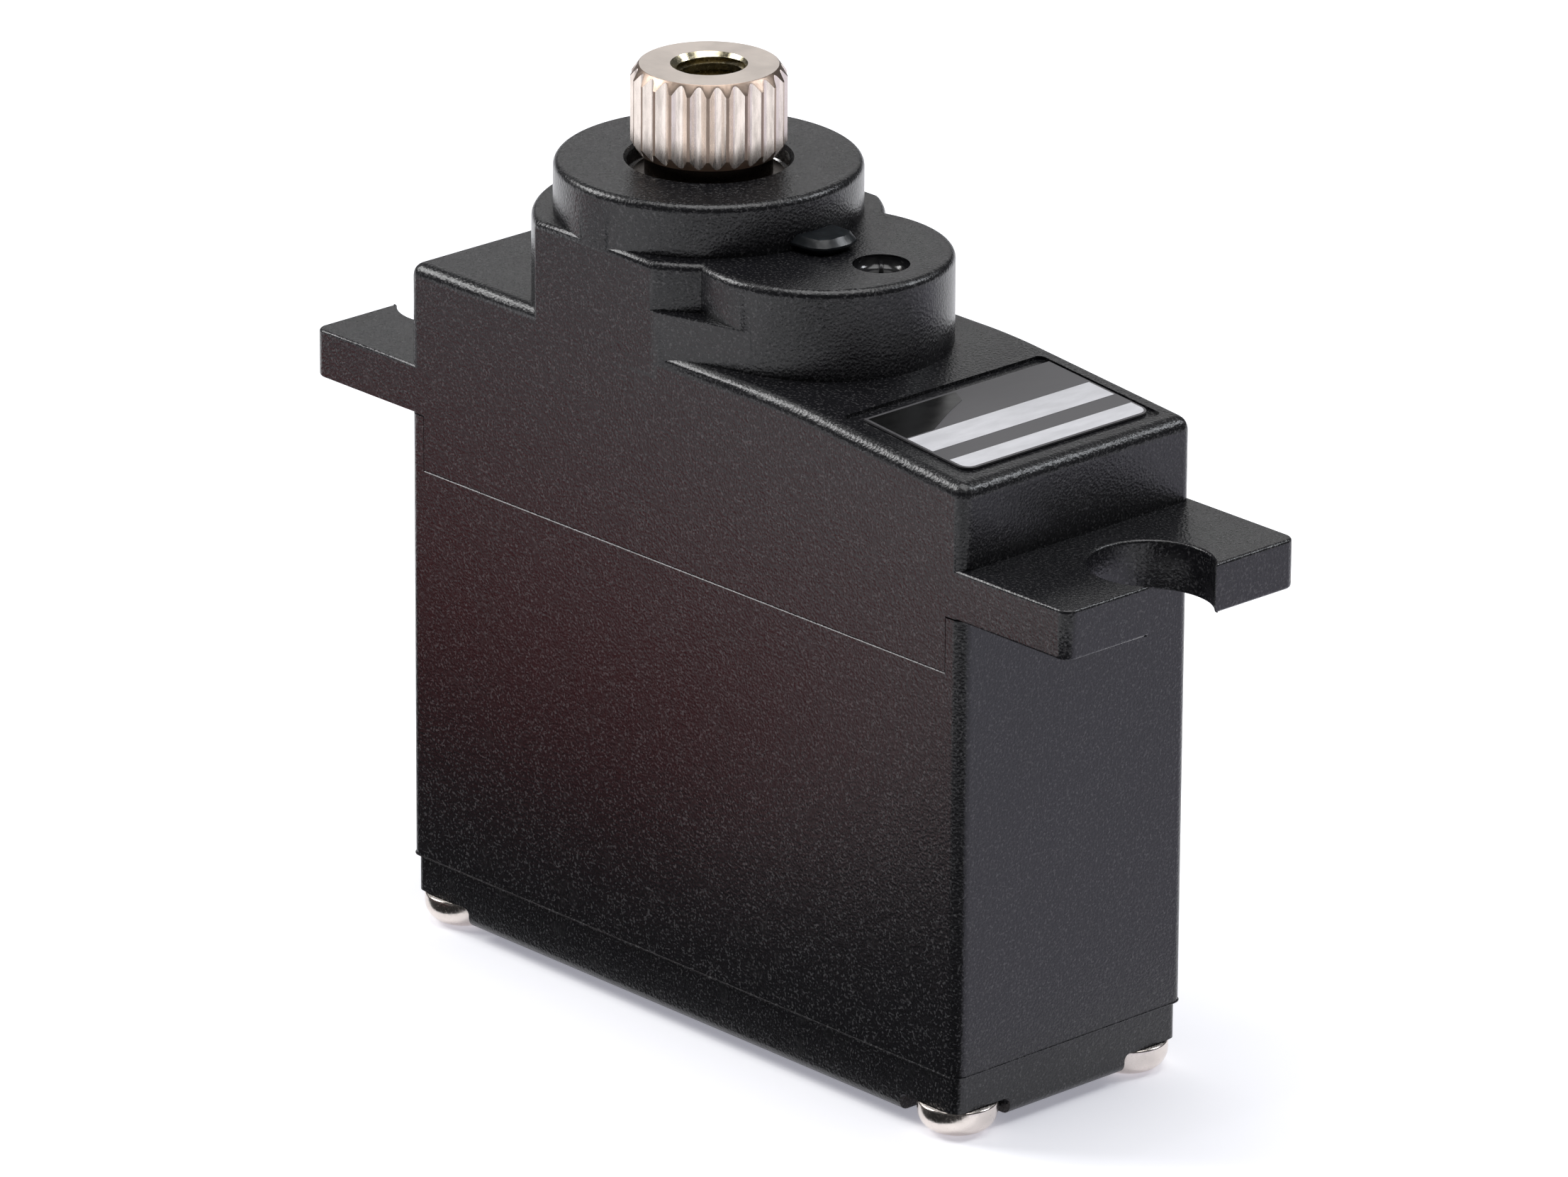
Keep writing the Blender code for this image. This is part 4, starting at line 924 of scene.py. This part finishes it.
def grommet():
    """The cord's inlet in the output end; the cord itself is left out."""
    low, high = node_box("cable_grommet")
    piece = block("cord_grommet", (low[0], high[0]), (low[1], high[1]), (low[2], high[2]))
    rounded(piece, 0.16, 4)
    half, middle = CORD_SLOT[1], (low[2] + high[2]) / 2
    reach = CORD_SLOT[0] - half
    outline = arc((reach, 0), half, -90, 90, 16) + arc((-reach, 0), half, 90, 270, 16)
    slot = plate("cord_slot", [outline], (-3, 3))
    turn = Matrix.Rotation(radians(90), 4, "Z") @ Matrix.Rotation(radians(90), 4, "X")
    slot.data.transform(Matrix.Translation((low[0] * MM, 0, middle * MM)) @ turn)
    fuse(piece, "DIFFERENCE", [slot])
    finish(piece, RUBBER, "housing", ["cable_grommet"])


# ---------------------------------------------------------------- output shaft and bearing

def involute(angle):
    """The involute function, for the flanks of gear teeth."""
    return tan(angle) - angle


def wheel_outline(teeth, module):
    """The output gear's teeth, with a gap towards +X."""
    pitch_r = teeth * module / 2
    base_r = pitch_r * cos(PRESSURE_ANGLE)
    half = pi / 2 / teeth - TOOTH_THINNING * module / (2 * pitch_r) + involute(PRESSURE_ANGLE)
    low, high = pitch_r - DEDENDUM * module, pitch_r + ADDENDUM * module
    flank = [(r, half - involute(acos(base_r / max(r, base_r)))) for r in (low, high)]
    points = []
    for i in range(teeth):
        middle = pi / teeth + 2 * pi * i / teeth
        points += [(r * cos(middle - a), r * sin(middle - a)) for r, a in flank]
        points += [(r * cos(middle + a), r * sin(middle + a)) for r, a in reversed(flank)]
    return points


def spline_outline():
    """Narrow-crested teeth with round-bottomed grooves between them."""
    points = []
    steps = 12
    for i in range(SPLINE_TEETH):
        for j in range(steps):
            part = j / steps - 0.5
            groove = min(1.0, max(0.0, (abs(part) - CREST) / GROOVE))
            radius = SPLINE_R - (SPLINE_R - SPLINE_ROOT_R) * sin(groove * pi / 2) ** GROOVE_SHAPE
            turn = 2 * pi * (i + part) / SPLINE_TEETH
            points.append((radius * cos(turn), radius * sin(turn)))
    return points


def spline():
    """The splined end, turned down at both ends of its teeth."""
    teeth = plate("spline", [spline_outline()], (SPLINE_BOTTOM, SPLINE_TOP), (OUTPUT_X, 0))
    outer = SPLINE_R + 0.02
    profile = [(0, SPLINE_TOP), (SPLINE_END_R - 0.03, SPLINE_TOP), (SPLINE_END_R, SPLINE_TOP - 0.02),
               (outer, SPLINE_TOP - SPLINE_CHAMFER), (outer, SPLINE_BOTTOM + SPLINE_CHAMFER),
               (SPLINE_END_R, SPLINE_BOTTOM), (0, SPLINE_BOTTOM)]
    return fuse(teeth, "INTERSECT", [turned("ends", profile, (OUTPUT_X, 0), 200)])


def thread():
    """A helical groove to cut into the bore's wall."""
    steps = 36
    half = THREAD_PITCH * 0.42
    inside = BORE_R - 0.15
    model = bmesh.new()
    rings = []
    for i in range(THREAD_TURNS * steps + 1):
        angle = 2 * pi * i / steps
        z = SPLINE_TOP + 0.4 - THREAD_PITCH * i / steps
        ring = []
        for radius, rise in ((inside, -half), (BORE_R + THREAD_DEPTH, 0), (inside, half)):
            ring.append(model.verts.new(((OUTPUT_X + radius * cos(angle)) * MM, radius * sin(angle) * MM,
                                         (z + rise) * MM)))
        rings.append(ring)
    for a, b in zip(rings, rings[1:]):
        for j in range(3):
            model.faces.new((a[j], a[(j + 1) % 3], b[(j + 1) % 3], b[j]))
    model.faces.new(reversed(rings[0]))
    model.faces.new(rings[-1])
    bmesh.ops.recalc_face_normals(model, faces=model.faces)
    mesh = bpy.data.meshes.new("thread")
    model.to_mesh(mesh)
    model.free()
    return to_scene("thread", mesh)


def output_shaft():
    """Output gear, journal and splined end in one piece, with the bores at both ends."""
    low, high = OUTPUT_GEAR
    shaft = plate("shaft", [wheel_outline(GEAR_TEETH, GEAR_MODULE)], (low, high), (OUTPUT_X, 0))
    journal_top = node_box("bearing_inner_ring")[1][2] + 0.1
    profile = [(0, SPLINE_BOTTOM + 0.3), (NECK_R, SPLINE_BOTTOM + 0.3), (NECK_R, journal_top),
               (JOURNAL_R - 0.15, journal_top), (JOURNAL_R, journal_top - 0.15), (JOURNAL_R, high + 0.4),
               (COLLAR_R, high + 0.38), (COLLAR_R, high - 0.5), (0, high - 0.5)]
    fuse(shaft, "UNION", [turned("journal", profile, (OUTPUT_X, 0)), spline()])
    sink = [(0, SPLINE_TOP + 0.5), (BORE_MOUTH_R + 0.5, SPLINE_TOP + 0.5), (BORE_MOUTH_R, SPLINE_TOP),
            (BORE_R, SPLINE_TOP - 0.21), (BORE_R, BORE_END), (0, BORE_END - 0.5)]
    fuse(shaft, "DIFFERENCE", [turned("bore", sink, (OUTPUT_X, 0))])
    fuse(shaft, "DIFFERENCE", [thread()])
    edge = degrees_of(acos(SOCKET_FLAT / SOCKET_R))
    outline = arc((0, 0), SOCKET_R, edge, 360 - edge, 40)
    socket = plate("socket", [outline], (low - 1, SOCKET_TOP), (OUTPUT_X, 0))
    fuse(shaft, "DIFFERENCE", [socket])
    shaft.name = "splined_shaft"
    finish(shaft, SHAFT_NICKEL, "output", ["output_shaft"], 28)
    tint_shaft(shaft.data)


def tint_shaft(mesh):
    """Satin on the faced end, painted shade in brown on the crests and chamfers, painted shade on the
    neck, gold in the bore.
    """
    for extra in (FACED_NICKEL, SHADED_CREST_NICKEL, SHADED_NECK_METAL, BORE_NICKEL):
        mesh.materials.append(extra)
    faced, flank, shaded_neck, bored = 1, 2, 3, 4
    neck_end = node_box("bearing_inner_ring")[1][2] + 0.05
    for face in mesh.polygons:
        x, y, z = face.center / MM
        radius = sqrt((x - OUTPUT_X) ** 2 + y ** 2)
        if face.normal.z > 0.9 and z > SPLINE_TOP - 0.01:
            face.material_index = faced
        elif z > SPLINE_BOTTOM and radius < BORE_MOUTH_R + 0.02:
            face.material_index = bored
        elif neck_end < z < SPLINE_BOTTOM + 0.01:
            # painted shade on the neck between the bearing and the spline
            face.material_index = shaded_neck
        elif z > SPLINE_BOTTOM and (radius > SPLINE_R - 0.02 or 0.3 < abs(face.normal.z) < 0.9):
            # painted shade in brown on the spline's crests and chamfers
            face.material_index = flank


def bearing_ring(name, node, body, radii, groove_side):
    """A ball-bearing ring with rounded corners and its ball groove."""
    low, high = (corner[2] for corner in node_box(node))
    middle = (low + high) / 2
    bore, rim = radii
    r = RING_ROUND
    groove = arc((BALL_CIRCLE_R, middle), GROOVE_R, *groove_side, 12)
    if radii == INNER_RING:
        profile = [(bore, high - r), (bore + r, high), (rim, high), *groove, (rim, low), (bore + r, low),
                   (bore, low + r)]
    else:
        profile = [(bore, high), (rim - r, high), (rim, high - r), (rim, low + r), (rim - r, low),
                   (bore, low), *groove]
    finish(turned(name, profile, (OUTPUT_X, 0), ring=True), STEEL, body, [node])


def bearing():
    """The two rings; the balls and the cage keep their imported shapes."""
    bite = degrees_of(acos(GROOVE_REACH / GROOVE_R))
    bearing_ring("inner_race", "bearing_inner_ring", "output", INNER_RING, (180 - bite, 180 + bite))
    bearing_ring("outer_race", "bearing_outer_ring", "housing", OUTER_RING, (-bite, bite))


# ---------------------------------------------------------------- inner pieces keep their shapes

INNER = {
    STEEL: ["gear_pin", "first_gear_pinion", "second_gear_pinion", "third_gear_pinion", "motor_shaft",
            "potentiometer_shaft"] + [f"bearing_ball_{i}" for i in range(1, 8)],
    BRASS: ["bearing_cage", "first_gear_wheel", "second_gear_wheel", "motor_pinion", "motor_front_bushing",
            "motor_rear_bushing", "brush_terminal_1", "brush_terminal_2", "potentiometer_wiper",
            "potentiometer_lead_1", "potentiometer_lead_2", "potentiometer_lead_3"],
    ALUMINIUM: ["third_gear_wheel", "bulk_capacitor"],
    CAN_STEEL: ["motor_can"],
    MAGNET: ["magnet_1", "magnet_2"],
    COIL_WIRE: ["rotor_coil_1", "rotor_coil_2", "rotor_coil_3", "commutator"],
    CORE_SHEETS: ["rotor_core"],
    WHITE_PLASTIC: ["motor_end_cap"],
    GREY_PLASTIC: ["potentiometer_housing", "chip_capacitor_1", "chip_capacitor_2"],
    CHIP_PLASTIC: ["potentiometer_element", "control_chip", "driver_chip_1", "driver_chip_2"],
    BOARD: ["circuit_board"],
}


def dress_inner_pieces():
    """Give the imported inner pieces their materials."""
    for material, nodes in INNER.items():
        for node in nodes:
            data = frame["nodes"][node].data
            data.materials.clear()
            data.materials.append(material)


add_camera()
add_stage()
top_shell()
gate_marks()
middle_shell()
cover_shell()
seam_flash()
label()
screws()
grommet()
output_shaft()
bearing()
dress_inner_pieces()
